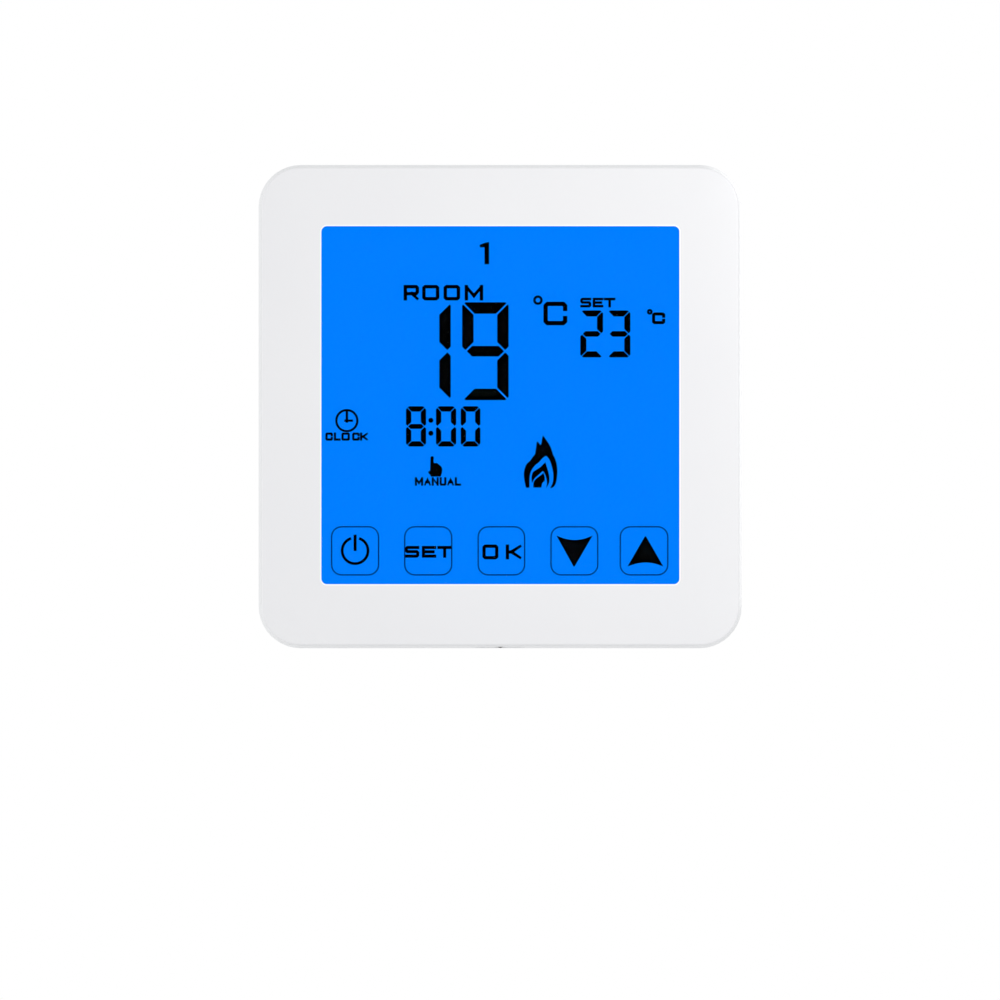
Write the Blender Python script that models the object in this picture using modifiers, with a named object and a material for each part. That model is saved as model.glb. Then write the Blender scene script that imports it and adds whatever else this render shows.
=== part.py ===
"""Square wall thermostat with a touch panel, an LCD and a box of power parts behind it.

Metres, +Z up. The front looks along -Y and the wall's surface is the plane y = 0, so the
part in the room has negative y and the box in the wall has positive y. The origin is the
centre of the area that rests on the wall.

Two halves: the rear half stays on the wall, and the front unit pulls straight off along -Y.
Nine terminal screws on the rear draw their clamps in and out along Y.
"""

import math

import bmesh
import bpy
from mathutils import Matrix

MM = 0.001

# ---- driving dimensions ---------------------------------------------------------------
# front view
WINDOW = 63.5 * MM            # lit area, square
BORDER = 11.25 * MM           # from the lit area to the body's widest edge
BODY_CORNER = 7.5 * MM        # outer corner radius
PANEL_INSET = 0.6 * MM        # the panel's edge, in from the body's widest edge

# depths, from the wall towards the room
PLATE_STANDOFF = 0.5 * MM     # the plate's rim stands the plate off the wall by this
PLATE_THICK = 1.0 * MM
FLANGE_THICK = 0.9 * MM
FLOOR_THICK = 1.2 * MM
SKIRT_GAP = 1.25 * MM         # from the wall to the mid frame's rear edge
MID_DEPTH = 6.15 * MM
SEAM_GAP = 0.25 * MM
FRONT_DEPTH = 5.35 * MM
PANEL_GAP = 0.3 * MM          # shadow line under the panel
PANEL_THICK = 0.9 * MM

# shells
WALL = 1.8 * MM               # side walls of both frames
FRONT_WEB = 1.3 * MM
FRONT_DRAFT = 0.45 * MM       # the front frame narrows by this towards the room
REAR_DRAFT = 1.1 * MM         # the mid frame narrows by this towards the wall
LIP = 0.5 * MM                # mid frame's edge round the plate
TONGUE_THICK = 0.85 * MM
TONGUE_REACH = 1.0 * MM       # how far the front frame's tongue enters the mid frame

# clearances
LAYER_GAP = 0.2 * MM          # between stacked pieces
FILM_GAP = 0.08 * MM          # between a film or tape and what it lies on
SIDE_GAP = 0.3 * MM           # between nested outlines
BORE_GAP = 0.3 * MM           # round a screw's shank, on the radius

# display
FILM_THICK = 0.14 * MM
GLASS_THICK = 0.7 * MM
GLASS_MARGIN = 1.5 * MM       # glass beyond the lit area, each side
LEDGE = 2.5 * MM              # the front glass's contact ledge, above and below
STRIP_THICK = 1.8 * MM        # elastomer connector strips
DIFFUSER_THICK = 0.2 * MM
GUIDE_THICK = 2.0 * MM
REFLECTOR_THICK = 0.15 * MM
TRAY_WALL = 0.9 * MM
TRAY_FLOOR = 0.55 * MM
BOARD_THICK = 1.6 * MM

# box in the wall
TERMINALS = 9
TERMINAL_PITCH = 5.0 * MM
BOX_MARGIN = 2.1 * MM         # from the terminal row's ends to the box's outer side
BOX_DEPTH = 28.4 * MM
BOX_CHAMFER = 9.3 * MM
BOX_DRAFT = 0.5 * MM
BOX_WALL = 1.5 * MM
FLANGE_WIDTH = 1.6 * MM
VENTS = 7
VENT_PITCH = 4.06 * MM
VENT_WIDTH = 1.24 * MM
VENT_LENGTH = 13.6 * MM
WALL_SCREW_OFFSET = 5.4 * MM  # from the box's side to the wall screw's axis

# terminal strip
STRIP_PROUD = 2.3 * MM        # behind the box's rear face
STRIP_TALL = 7.8 * MM
STRIP_LOW_Z = -15.8 * MM
STRIP_HIGH_Z = -7.2 * MM
RIB = 0.9 * MM
BAY_FLOOR = 3.1 * MM          # below the strip's rear edge
CLAMP_THICK = 0.8 * MM
CLAMP_TALL = 5.6 * MM
TERMINAL_SHANK = 1.3 * MM     # radius
TERMINAL_HEAD = 1.85 * MM     # radius
TERMINAL_HEAD_TALL = 1.3 * MM
TERMINAL_SCREW_LONG = 5.2 * MM

# small screws
SCREW_SHANK = 1.1 * MM        # radius
SCREW_HEAD = 2.0 * MM         # radius
SCREW_HEAD_TALL = 1.1 * MM
BOSS = 2.3 * MM               # radius

# snap tabs, pry slots and sensor opening
TAB_X = 28.2 * MM
TAB_WIDTH = 9.2 * MM
TAB_TALL = 1.55 * MM
TAB_SLIT = 0.35 * MM
PRY_X = 28.1 * MM
PRY_WIDTH = 7.1 * MM
PRY_TALL = 1.2 * MM
SENSOR_HOLE = 1.15 * MM       # radius
SENSOR_SLOT = (8.9 * MM, 0.85 * MM)  # length and width, with round ends
SENSOR_DEPTH = 3.4 * MM       # behind the front frame's front edge
BULB = 0.8 * MM               # radius

# mounting plate
PLATE_RIM = 1.3 * MM
BAR_SLOPE = 0.4 * MM          # the ends of the rim's bars slope by this
BAR_NEAR = 2.3 * MM           # from an edge's middle to the rim's bars
BAR_END = 5.1 * MM            # between a tab's middle and the nearest bar
KEY = 1.05 * MM               # half width of the ribs that locate the plate
NOTCH = KEY + SIDE_GAP        # half width of the plate's notches
WALL_SLOT = (2.25 * MM, 4.2 * MM)  # half width and half height

# board to board connector
SOCKET_PLACE = (0.0, 15.5 * MM)
SOCKET_SIZE = (13.2 * MM, 8.5 * MM, 5.4 * MM)
PINS = 5                      # in each of two rows
PIN_PITCH = 2.54 * MM
PIN = 0.32 * MM               # half width

# transformer
TRANSFORMER = (15.6 * MM, 13.4 * MM, 14.4 * MM)
TRANSFORMER_PLACE = (11.4 * MM, -2.9 * MM)
TRANSFORMER_FOOT = 3.0 * MM   # below the winding's waist
WAIST_DEEP = 1.6 * MM
WAIST_SHORT = 2.8 * MM        # between the waist's end and the core's end

PAST = 2.0 * MM               # how far a cutter runs past what it cuts
CORNER_STEPS = 8
EDGE_STEPS = 10               # round the corners of the large mouldings
ROUND_STEPS = 24
BORE_STEPS = 16               # round small bores and screws
SMOOTH = math.radians(35)     # faces that meet within this are shaded as one

# ---- worked-out places ----------------------------------------------------------------
body_half = WINDOW / 2 + BORDER
plate_rear = -PLATE_STANDOFF
plate_front = plate_rear - PLATE_THICK
flange_rear = plate_front - LAYER_GAP
flange_front = flange_rear - FLANGE_THICK
floor_rear = flange_front - LAYER_GAP
floor_front = floor_rear - FLOOR_THICK
mid_rear = -SKIRT_GAP
mid_front = mid_rear - MID_DEPTH
frame_rear = mid_front - SEAM_GAP
frame_front = frame_rear - FRONT_DEPTH
panel_rear = frame_front - PANEL_GAP
panel_front = panel_rear - PANEL_THICK

inner_half = body_half - WALL
inner_corner = BODY_CORNER - WALL
tongue_half = inner_half - SIDE_GAP
board_half = tongue_half - TONGUE_THICK - 2 * SIDE_GAP
boss_at = board_half - BOSS - SIDE_GAP

glass_width = WINDOW + 2 * GLASS_MARGIN
glass_tall = glass_width + 2 * LEDGE
glass_front = frame_front + LAYER_GAP
rear_glass_front = glass_front + GLASS_THICK + LAYER_GAP / 2
diffuser_front = rear_glass_front + GLASS_THICK + LAYER_GAP / 2
guide_front = diffuser_front + DIFFUSER_THICK + LAYER_GAP / 2
reflector_front = guide_front + GUIDE_THICK + LAYER_GAP / 2
tray_floor_front = reflector_front + REFLECTOR_THICK + LAYER_GAP / 2
tray_rear = tray_floor_front + TRAY_FLOOR
board_front = tray_rear + LAYER_GAP
board_rear = board_front + BOARD_THICK

box_half = TERMINALS * TERMINAL_PITCH / 2 + BOX_MARGIN
box_inner_half = box_half - BOX_WALL
box_inner_chamfer = BOX_CHAMFER - BOX_WALL * (2 - math.sqrt(2))
box_floor = BOX_DEPTH - BOX_WALL
wall_screw_x = box_half + WALL_SCREW_OFFSET
flange_half = box_half + FLANGE_WIDTH
flange_screw_at = box_half - 2.0 * MM

strip_rear = BOX_DEPTH + STRIP_PROUD
strip_front = strip_rear - STRIP_TALL
strip_half = TERMINALS * TERMINAL_PITCH / 2 + RIB / 2
bay_width = TERMINAL_PITCH - RIB
bay_floor = strip_rear - BAY_FLOOR
power_rear = strip_front - LAYER_GAP
power_front = power_rear - BOARD_THICK
parts_rear = power_front - LAYER_GAP          # power parts stand on the board's front side
power_half = box_inner_half - BOX_DRAFT - 2 * SIDE_GAP

# ---- collections and materials --------------------------------------------------------
for leftover in list(bpy.data.objects):
    bpy.data.objects.remove(leftover, do_unlink=True)

pieces = bpy.data.collections.new("wall_thermostat")
tools = bpy.data.collections.new("cutters")
bpy.context.scene.collection.children.link(pieces)
bpy.context.scene.collection.children.link(tools)


def finish(name, colour, roughness, metallic=0.0, alpha=1.0):
    """A material of its own for one piece."""
    material = bpy.data.materials.new(name)
    material.use_nodes = True
    shader = material.node_tree.nodes["Principled BSDF"]
    shader.inputs["Base Color"].default_value = (*colour, 1.0)
    shader.inputs["Roughness"].default_value = roughness
    shader.inputs["Metallic"].default_value = metallic
    shader.inputs["Alpha"].default_value = alpha
    return material


WHITE_PLASTIC = ((0.84, 0.85, 0.86), 0.42)
GREY_PLASTIC = ((0.62, 0.62, 0.61), 0.5)
BLACK_STEEL = ((0.02, 0.02, 0.022), 0.45)
GREEN_BOARD = ((0.02, 0.16, 0.07), 0.45)
BLACK_PLASTIC = ((0.015, 0.015, 0.017), 0.4)
STEEL = ((0.62, 0.62, 0.6), 0.3, 1.0)
CLEAR = ((0.8, 0.85, 0.88), 0.05, 0.0, 0.3)


def empty(name, place, parent=None):
    """A frame that a moving group hangs from."""
    frame = bpy.data.objects.new(name, None)
    frame.location = place
    frame.parent = parent
    pieces.objects.link(frame)
    return frame


base = empty("base", (0.0, 0.0, 0.0))
front_unit = empty("front_unit", (0.0, 0.0, 0.0))


def add_piece(name, mesh, place, look, parent, turn=(0.0, 0.0, 0.0)):
    """Puts a mesh in the thermostat as a piece with its own material."""
    piece = bpy.data.objects.new(name, mesh)
    piece.location = place
    piece.rotation_euler = turn
    piece.parent = parent
    if not mesh.materials:
        mesh.materials.append(finish(name, *look))
    pieces.objects.link(piece)
    return piece


def add_cutter(name, mesh, place=(0.0, 0.0, 0.0), turn=(0.0, 0.0, 0.0)):
    """Puts a mesh among the hidden cutters."""
    cutter = bpy.data.objects.new(name, mesh)
    cutter.location = place
    cutter.rotation_euler = turn
    cutter.hide_render = True
    cutter.display_type = "WIRE"
    tools.objects.link(cutter)
    return cutter


def combine(piece, other, operation):
    """An exact Boolean of a piece with a cutter."""
    modifier = piece.modifiers.new(operation.lower() + "_" + other.name, "BOOLEAN")
    modifier.operation = operation
    modifier.object = other
    modifier.solver = "EXACT"


def cut(piece, cutter):
    combine(piece, cutter, "DIFFERENCE")


def join(piece, addition):
    combine(piece, addition, "UNION")


# ---- shapes ---------------------------------------------------------------------------
def to_mesh(shell, name, smooth_angle=None):
    """Writes a bmesh into a new mesh, smooth where its faces meet within the angle."""
    bmesh.ops.recalc_face_normals(shell, faces=shell.faces)
    mesh = bpy.data.meshes.new(name)
    shell.to_mesh(mesh)
    shell.free()
    if smooth_angle:
        mesh.shade_smooth()
        mesh.set_sharp_from_angle(angle=smooth_angle)
    return mesh


def slab(name, half_x, half_z, front, rear, corner=0.0, steps=CORNER_STEPS, narrow_front=0.0,
         narrow_rear=0.0, rim_front=0.0, rim_rear=0.0, rim_steps=3):
    """A plate across Y from front to rear, its corners along Y rounded or, with one step, chamfered.

    Its outline narrows by narrow_front or narrow_rear at that end, and the rim of that end is
    rounded to rim_front or rim_rear.
    """
    middle = (front + rear) / 2
    reach = (rear - front) / 2
    shell = bmesh.new()
    bmesh.ops.create_cube(shell, size=2.0, matrix=Matrix.Diagonal((half_x, reach, half_z, 1.0)))
    if corner > 0:
        along = [e for e in shell.edges if abs(e.verts[0].co.y - e.verts[1].co.y) > reach]
        bmesh.ops.bevel(shell, geom=along, offset=corner, segments=steps, profile=0.5,
                        affect="EDGES")
    for end, narrow in ((-reach, narrow_front), (reach, narrow_rear)):
        for vertex in shell.verts:
            if narrow and abs(vertex.co.y - end) < reach / 100:
                vertex.co.x *= 1 - narrow / half_x
                vertex.co.z *= 1 - narrow / half_z
    for end, rim in ((-reach, rim_front), (reach, rim_rear)):
        if rim:
            loop = [e for e in shell.edges
                    if all(abs(v.co.y - end) < reach / 1000 for v in e.verts)]
            bmesh.ops.bevel(shell, geom=loop, offset=rim, segments=rim_steps, profile=0.5,
                            affect="EDGES")
    bmesh.ops.translate(shell, verts=shell.verts, vec=(0.0, middle, 0.0))
    return to_mesh(shell, name, SMOOTH)


def boxes(name, spans, flare=0.0):
    """Boxes in one mesh, each given as its span along X, Y and Z.

    With a flare, each box is wider by that all round at its end nearest the wall.
    """
    shell = bmesh.new()
    for span_x, span_y, span_z in spans:
        middle = [sum(span) / 2 for span in (span_x, span_y, span_z)]
        size = [abs(span[1] - span[0]) for span in (span_x, span_y, span_z)]
        place = Matrix.Translation(middle) @ Matrix.Diagonal((*size, 1.0))
        corners = bmesh.ops.create_cube(shell, size=1.0, matrix=place)["verts"]
        for corner in corners:
            if flare and corner.co.y > middle[1]:
                corner.co.x += math.copysign(flare, corner.co.x - middle[0])
                corner.co.z += math.copysign(flare, corner.co.z - middle[2])
    return to_mesh(shell, name)


def drums(name, radius, span_y, places, steps=ROUND_STEPS):
    """Cylinders along Y in one mesh, one at each (x, z) place."""
    shell = bmesh.new()
    turn = Matrix.Rotation(math.pi / 2, 4, "X")
    for x, z in places:
        place = Matrix.Translation((x, sum(span_y) / 2, z)) @ turn
        bmesh.ops.create_cone(shell, cap_ends=True, segments=steps, radius1=radius,
                              radius2=radius, depth=abs(span_y[1] - span_y[0]), matrix=place)
    return to_mesh(shell, name, SMOOTH)


def plain(shape):
    """The finished mesh of a shape with modifiers; the shape itself is removed."""
    bpy.context.view_layer.update()
    graph = bpy.context.evaluated_depsgraph_get()
    mesh = bpy.data.meshes.new_from_object(shape.evaluated_get(graph))
    mesh.name = shape.name
    bpy.data.objects.remove(shape, do_unlink=True)
    return mesh


def turned(name, profile, steps=ROUND_STEPS):
    """A turned shape about local Z, from a profile that starts at its top, on the axis."""
    mesh = bpy.data.meshes.new(name)
    edges = [(i, i + 1) for i in range(len(profile) - 1)]
    mesh.from_pydata([(radius, 0.0, height) for radius, height in profile], edges, [])
    shape = bpy.data.objects.new(name, mesh)
    tools.objects.link(shape)
    screw = shape.modifiers.new("turn", "SCREW")
    screw.steps = steps
    screw.render_steps = steps
    screw.use_merge_vertices = True
    screw.merge_threshold = 0.001 * MM
    screw.use_smooth_shade = False
    return shape


def screw_mesh(name, head, head_tall, shank, length, steps):
    """A cross-recessed pan-head screw about local Z: its head stands on z = 0, its tip is below."""
    shape = turned(name, [
        (0.0, head_tall),
        (head * 0.62, head_tall),
        (head * 0.92, head_tall * 0.72),
        (head, head_tall * 0.3),
        (head, 0.0),
        (shank, 0.0),
        (shank, shank * 0.5 - length),
        (shank * 0.5, -length),
        (0.0, -length),
    ], steps)
    arm = head * 0.58
    blade = head * 0.13
    deep = head_tall * 0.5
    top = head_tall * 1.5
    cross = boxes(name + "_recess", [
        ((-arm, arm), (-blade, blade), (deep, top)),
        ((-blade, blade), (-arm, arm), (deep, top)),
    ])
    cutter = add_cutter(name + "_recess", cross)
    cut(shape, cutter)
    shape.modifiers[-1].use_self = True
    mesh = plain(shape)
    bpy.data.objects.remove(cutter, do_unlink=True)
    mesh.shade_smooth()
    mesh.set_sharp_from_angle(angle=SMOOTH)
    return mesh


def wire(name, routes, radius):
    """A round wire along each route, as one mesh with closed ends."""
    curve = bpy.data.curves.new(name, "CURVE")
    curve.dimensions = "3D"
    curve.bevel_depth = radius
    curve.bevel_resolution = 1
    curve.use_fill_caps = True
    for route in routes:
        spline = curve.splines.new("POLY")
        spline.points.add(len(route) - 1)
        for point, place in zip(spline.points, route):
            point.co = (*place, 1.0)
    shape = bpy.data.objects.new(name, curve)
    tools.objects.link(shape)
    mesh = plain(shape)
    shell = bmesh.new()
    shell.from_mesh(mesh)
    bmesh.ops.remove_doubles(shell, verts=shell.verts, dist=0.001 * MM)
    return to_mesh(shell, name, math.radians(50))


def four(x, z):
    """The four places that mirror (x, z) in both axes."""
    return [(side_x * x, side_z * z) for side_x in (-1, 1) for side_z in (-1, 1)]


def on_every_edge(spans):
    """Repeats spans, given at the lower edge, on all four edges of the square."""
    turned_spans = []
    for (x0, x1), span_y, (z0, z1) in spans:
        turned_spans.append(((x0, x1), span_y, (z0, z1)))
        turned_spans.append(((-x1, -x0), span_y, (-z1, -z0)))
        turned_spans.append(((z0, z1), span_y, (-x1, -x0)))
        turned_spans.append(((-z1, -z0), span_y, (x0, x1)))
    return turned_spans


def both_sides(spans):
    """Repeats spans, given at positive X, at negative X too."""
    return spans + [((-x1, -x0), span_y, span_z) for (x0, x1), span_y, span_z in spans]


# ---- front unit: panel, tape and frame ------------------------------------------------
panel_half = body_half - PANEL_INSET
panel_corner = BODY_CORNER - PANEL_INSET
add_piece(
    "front_panel",
    slab("front_panel", panel_half, panel_half, panel_front, panel_rear, panel_corner,
         EDGE_STEPS, rim_front=0.55 * MM, rim_rear=0.12 * MM),
    (0, 0, 0), ((0.86, 0.87, 0.88), 0.12), front_unit)

tape_half = panel_half - 1.6 * MM
tape_hole = glass_tall / 2 + 0.9 * MM
tape_rear = frame_front - FILM_GAP
panel_tape = add_piece(
    "panel_tape",
    slab("panel_tape", tape_half, tape_half, tape_rear - FILM_THICK, tape_rear,
         panel_corner - 1.6 * MM, 6),
    (0, 0, 0), BLACK_PLASTIC, front_unit)
cut(panel_tape, add_cutter("tape_window", slab(
    "tape_window", tape_hole, tape_hole, panel_rear, frame_front)))

touch_half = tape_hole - 2 * SIDE_GAP
add_piece(
    "touch_sensor",
    slab("touch_sensor", touch_half, touch_half, tape_rear - FILM_THICK, tape_rear, 1.0 * MM, 3),
    (0, 0, 0), CLEAR, front_unit)

front_frame = add_piece(
    "front_frame",
    slab("front_frame", body_half, body_half, frame_front, frame_rear, BODY_CORNER,
         EDGE_STEPS, narrow_front=FRONT_DRAFT, rim_front=0.35 * MM, rim_steps=2),
    (0, 0, 0), WHITE_PLASTIC, front_unit)
web_rear = frame_front + FRONT_WEB
cut(front_frame, add_cutter("front_hollow", slab(
    "front_hollow", inner_half, inner_half, web_rear, frame_rear + PAST, inner_corner)))
opening_x = glass_width / 2 + 0.5 * MM
opening_z = glass_tall / 2 + SIDE_GAP
cut(front_frame, add_cutter("front_opening", slab(
    "front_opening", opening_x, opening_z, frame_front - PAST, web_rear + PAST)))
tongue_front = frame_rear - 1.1 * MM
tongue_rear = mid_front + TONGUE_REACH
tongue = add_cutter("tongue", slab(
    "tongue", inner_half + 0.2 * MM, inner_half + 0.2 * MM, tongue_front, tongue_rear,
    inner_corner + 0.2 * MM))
cut(tongue, add_cutter("tongue_inside", slab(
    "tongue_inside", tongue_half - TONGUE_THICK, tongue_half - TONGUE_THICK,
    tongue_front - PAST, tongue_rear + PAST, inner_corner - SIDE_GAP - TONGUE_THICK)))
step = add_cutter("tongue_step", slab(
    "tongue_step", body_half + PAST, body_half + PAST, frame_rear, tongue_rear + PAST, 0.0))
cut(step, add_cutter("tongue_step_inside", slab(
    "tongue_step_inside", tongue_half, tongue_half, frame_rear - PAST, tongue_rear + 2 * PAST,
    inner_corner - SIDE_GAP)))
cut(tongue, step)
join(front_frame, tongue)
boss_rear = board_front - LAYER_GAP
bosses = four(boss_at, boss_at)
join(front_frame, add_cutter("front_bosses", drums(
    "front_bosses", BOSS, (web_rear - 0.5 * MM, boss_rear), bosses, BORE_STEPS)))
cut(front_frame, add_cutter("boss_bores", drums(
    "boss_bores", SCREW_SHANK + BORE_GAP / 2, (web_rear + 0.4 * MM, boss_rear + PAST),
    bosses, BORE_STEPS)))
sensor_y = frame_front + SENSOR_DEPTH
sensor_wall = (-body_half - PAST, -inner_half + 0.5 * MM)
sensor_slot = slab("sensor_slot", SENSOR_SLOT[0] / 2, SENSOR_SLOT[1] / 2, *sensor_wall,
                   SENSOR_SLOT[1] * 0.49, 5)
cut(front_frame, add_cutter("sensor_slot", sensor_slot, (0, sensor_y, 0), (math.pi / 2, 0, 0)))
bore = bmesh.new()
bmesh.ops.create_cone(bore, cap_ends=True, segments=ROUND_STEPS, radius1=SENSOR_HOLE,
                      radius2=SENSOR_HOLE, depth=sensor_wall[1] - sensor_wall[0],
                      matrix=Matrix.Translation((0, sensor_y, sum(sensor_wall) / 2)))
cut(front_frame, add_cutter("sensor_bore", to_mesh(bore, "sensor_bore")))

# ---- front unit: display --------------------------------------------------------------
glass_half = glass_width / 2
add_piece(
    "lcd_front_glass",
    slab("lcd_front_glass", glass_half, glass_tall / 2, glass_front, glass_front + GLASS_THICK,
         0.3 * MM, 1),
    (0, 0, 0), CLEAR, front_unit)
add_piece(
    "lcd_rear_glass",
    slab("lcd_rear_glass", glass_half, glass_half, rear_glass_front,
         rear_glass_front + GLASS_THICK, 0.3 * MM, 1),
    (0, 0, 0), CLEAR, front_unit)

strip_z = glass_half + LEDGE / 2 + 0.05 * MM
strip_span_y = (glass_front + GLASS_THICK + FILM_GAP, board_front - FILM_GAP)
for side, name in ((1, "connector_strip_top"), (-1, "connector_strip_bottom")):
    add_piece(name, slab(name, glass_half - 2.0 * MM, STRIP_THICK / 2, *strip_span_y,
                         0.25 * MM, 2),
              (0, 0, side * strip_z), ((0.30, 0.31, 0.33), 0.6), front_unit)

tray_half = glass_half - 2 * SIDE_GAP
pocket_half = tray_half - TRAY_WALL
light_bar_thick = 0.8 * MM
light_bar_x = pocket_half - LAYER_GAP - light_bar_thick / 2
diffuser_half = pocket_half - LAYER_GAP
add_piece(
    "diffuser",
    slab("diffuser", diffuser_half, diffuser_half, diffuser_front,
         diffuser_front + DIFFUSER_THICK, 0.3 * MM, 1),
    (0, 0, 0), ((0.85, 0.87, 0.9), 0.7), front_unit)
guide_reach = (-diffuser_half, light_bar_x - light_bar_thick / 2 - LAYER_GAP)
add_piece(
    "light_guide",
    slab("light_guide", (guide_reach[1] - guide_reach[0]) / 2, diffuser_half, guide_front,
         guide_front + GUIDE_THICK, 0.3 * MM, 1),
    (sum(guide_reach) / 2, 0, 0), CLEAR, front_unit)
add_piece(
    "backlight_led_bar",
    boxes("backlight_led_bar", [((-light_bar_thick / 2, light_bar_thick / 2),
                                 (guide_front, guide_front + GUIDE_THICK),
                                 (-0.9 * diffuser_half, 0.9 * diffuser_half))]),
    (light_bar_x, 0, 0), ((0.8, 0.8, 0.7), 0.5), front_unit)
add_piece(
    "reflector",
    slab("reflector", diffuser_half, diffuser_half, reflector_front,
         reflector_front + REFLECTOR_THICK, 0.3 * MM, 1),
    (0, 0, 0), ((0.9, 0.9, 0.9), 0.3), front_unit)
backlight_tray = add_piece(
    "backlight_tray",
    slab("backlight_tray", tray_half, tray_half, diffuser_front, tray_rear, 0.6 * MM, 2),
    (0, 0, 0), ((0.85, 0.85, 0.85), 0.5), front_unit)
cut(backlight_tray, add_cutter("tray_pocket", slab(
    "tray_pocket", pocket_half, pocket_half, diffuser_front - PAST, tray_floor_front)))

# ---- front unit: display board and its parts ------------------------------------------
display_board = add_piece(
    "display_board",
    slab("display_board", board_half, board_half, board_front, board_rear, 3.0 * MM, 4),
    (0, 0, 0), GREEN_BOARD, front_unit)
cut(display_board, add_cutter("display_board_holes", drums(
    "display_board_holes", SCREW_SHANK + BORE_GAP, (board_front - PAST, board_rear + PAST),
    bosses, BORE_STEPS)))

behind = board_rear + LAYER_GAP
board_screw = screw_mesh("display_board_screw", SCREW_HEAD, SCREW_HEAD_TALL, SCREW_SHANK,
                         behind - web_rear - 1.2 * MM, BORE_STEPS)
for number, (x, z) in enumerate(bosses, 1):
    add_piece(f"display_board_screw_{number}", board_screw, (x, behind, z), STEEL, front_unit,
              turn=(-math.pi / 2, 0, 0))


def upright(name, size, place, look, parent, front, corner=0.3 * MM, steps=2, rim=0.2 * MM):
    """A moulded block that stands on a board: size is (x, y, z) and front its face nearest the room."""
    half_x, deep, half_z = size[0] / 2, size[1], size[2] / 2
    return add_piece(name, slab(name, half_x, half_z, 0.0, deep, corner, steps,
                                rim_rear=rim, rim_steps=1),
                     (place[0], front, place[1]), look, parent)


pin_places = [(SOCKET_PLACE[0] + (column - (PINS - 1) / 2) * PIN_PITCH,
               SOCKET_PLACE[1] + side * PIN_PITCH / 2)
              for column in range(PINS) for side in (-1, 1)]
socket_rear = behind + SOCKET_SIZE[1]

upright("microcontroller", (12.0 * MM, 1.4 * MM, 12.0 * MM), (-12.5 * MM, -6.0 * MM),
        BLACK_PLASTIC, front_unit, behind, corner=0.5 * MM, steps=1)
upright("clock_crystal", (2.4 * MM, 1.8 * MM, 6.2 * MM), (-16.0 * MM, 7.5 * MM), STEEL,
        front_unit, behind, corner=1.0 * MM, steps=4)
board_socket = upright("board_socket", SOCKET_SIZE, SOCKET_PLACE, BLACK_PLASTIC, front_unit,
                       behind, corner=0.2 * MM, steps=1)
cut(board_socket, add_cutter("socket_holes", boxes("socket_holes", [
    ((x - 2 * PIN, x + 2 * PIN), (behind + 1.2 * MM, socket_rear + PAST), (z - 2 * PIN, z + 2 * PIN))
    for x, z in pin_places])))


def can(name, radius, tall, place, look, parent, front, groove=0.0):
    """A round can that stands on a board, its top towards the wall; groove is a crimp near its foot."""
    profile = [(0.0, tall), (radius * 0.9, tall), (radius, tall - radius * 0.1)]
    if groove:
        profile += [(radius, groove * 1.6), (radius * 0.93, groove * 1.2), (radius, groove * 0.8)]
    profile += [(radius, 0.0), (0.0, 0.0)]
    mesh = plain(turned(name, profile, 20))
    mesh.shade_smooth()
    mesh.set_sharp_from_angle(angle=SMOOTH)
    return add_piece(name, mesh, (place[0], front, place[1]), look, parent,
                     turn=(-math.pi / 2, 0, 0))


can("backup_battery", 6.25 * MM, 2.0 * MM, (12.0 * MM, -8.0 * MM), STEEL, front_unit, behind)
can("buzzer", 4.5 * MM, 4.2 * MM, (13.0 * MM, 6.5 * MM), BLACK_PLASTIC, front_unit, behind)

# the thermistor's bulb sits in the opening in the lower edge, on two leads from the board
lead_x = 0.45 * MM
bulb_z = -inner_half - 0.6 * MM
lead_top = -board_half + 2.0 * MM
air_sensor = bmesh.new()
bmesh.ops.create_uvsphere(air_sensor, u_segments=16, v_segments=10, radius=BULB,
                          matrix=Matrix.Diagonal((1.0, 1.0, 1.45, 1.0)))
air_sensor = add_piece("air_sensor", to_mesh(air_sensor, "air_sensor", math.radians(60)),
                       (0, sensor_y, bulb_z), BLACK_PLASTIC, front_unit)
leads = [[(side * lead_x, sensor_y, bulb_z + 0.5 * BULB),
          (side * lead_x, sensor_y, -tongue_half + TONGUE_THICK),
          (side * lead_x * 2, sensor_y + 0.3 * MM, lead_top - 0.8 * MM),
          (side * lead_x * 2, board_front - LAYER_GAP, lead_top)] for side in (-1, 1)]
join(air_sensor, add_cutter("sensor_leads", wire("sensor_leads", leads, 0.2 * MM)))

# ---- rear half: frame on the plate ----------------------------------------------------
mid_frame = add_piece(
    "mid_frame",
    slab("mid_frame", body_half, body_half, mid_front, mid_rear, BODY_CORNER,
         EDGE_STEPS, narrow_rear=REAR_DRAFT, rim_rear=0.2 * MM, rim_steps=2),
    (0, 0, 0), WHITE_PLASTIC, base)
cut(mid_frame, add_cutter("mid_hollow", slab(
    "mid_hollow", inner_half, inner_half, mid_front - PAST, floor_front, inner_corner)))
skirt_half = inner_half - 0.6 * MM
cut(mid_frame, add_cutter("mid_rear_hollow", slab(
    "mid_rear_hollow", skirt_half, skirt_half, floor_rear, mid_rear + PAST,
    inner_corner - 0.6 * MM)))
plate_half = body_half - REAR_DRAFT - LIP - LAYER_GAP
rebate_half = plate_half + LAYER_GAP
rebate_corner = BODY_CORNER - REAR_DRAFT - LIP
cut(mid_frame, add_cutter("plate_rebate", slab(
    "plate_rebate", rebate_half, rebate_half, plate_front - LAYER_GAP, mid_rear + PAST,
    rebate_corner)))
cut(mid_frame, add_cutter("floor_opening", slab(
    "floor_opening", box_inner_half, box_inner_half, floor_front - PAST, floor_rear + PAST,
    box_inner_chamfer, 1)))
access_half = 4.75 * MM
access_tall = 6.5 * MM
cut(mid_frame, add_cutter("screw_access", boxes("screw_access", both_sides([
    ((wall_screw_x - access_half, wall_screw_x + access_half),
     (floor_front - PAST, floor_rear + PAST), (-access_tall, access_tall))]))))
flange_screws = four(flange_screw_at, flange_screw_at)
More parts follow.
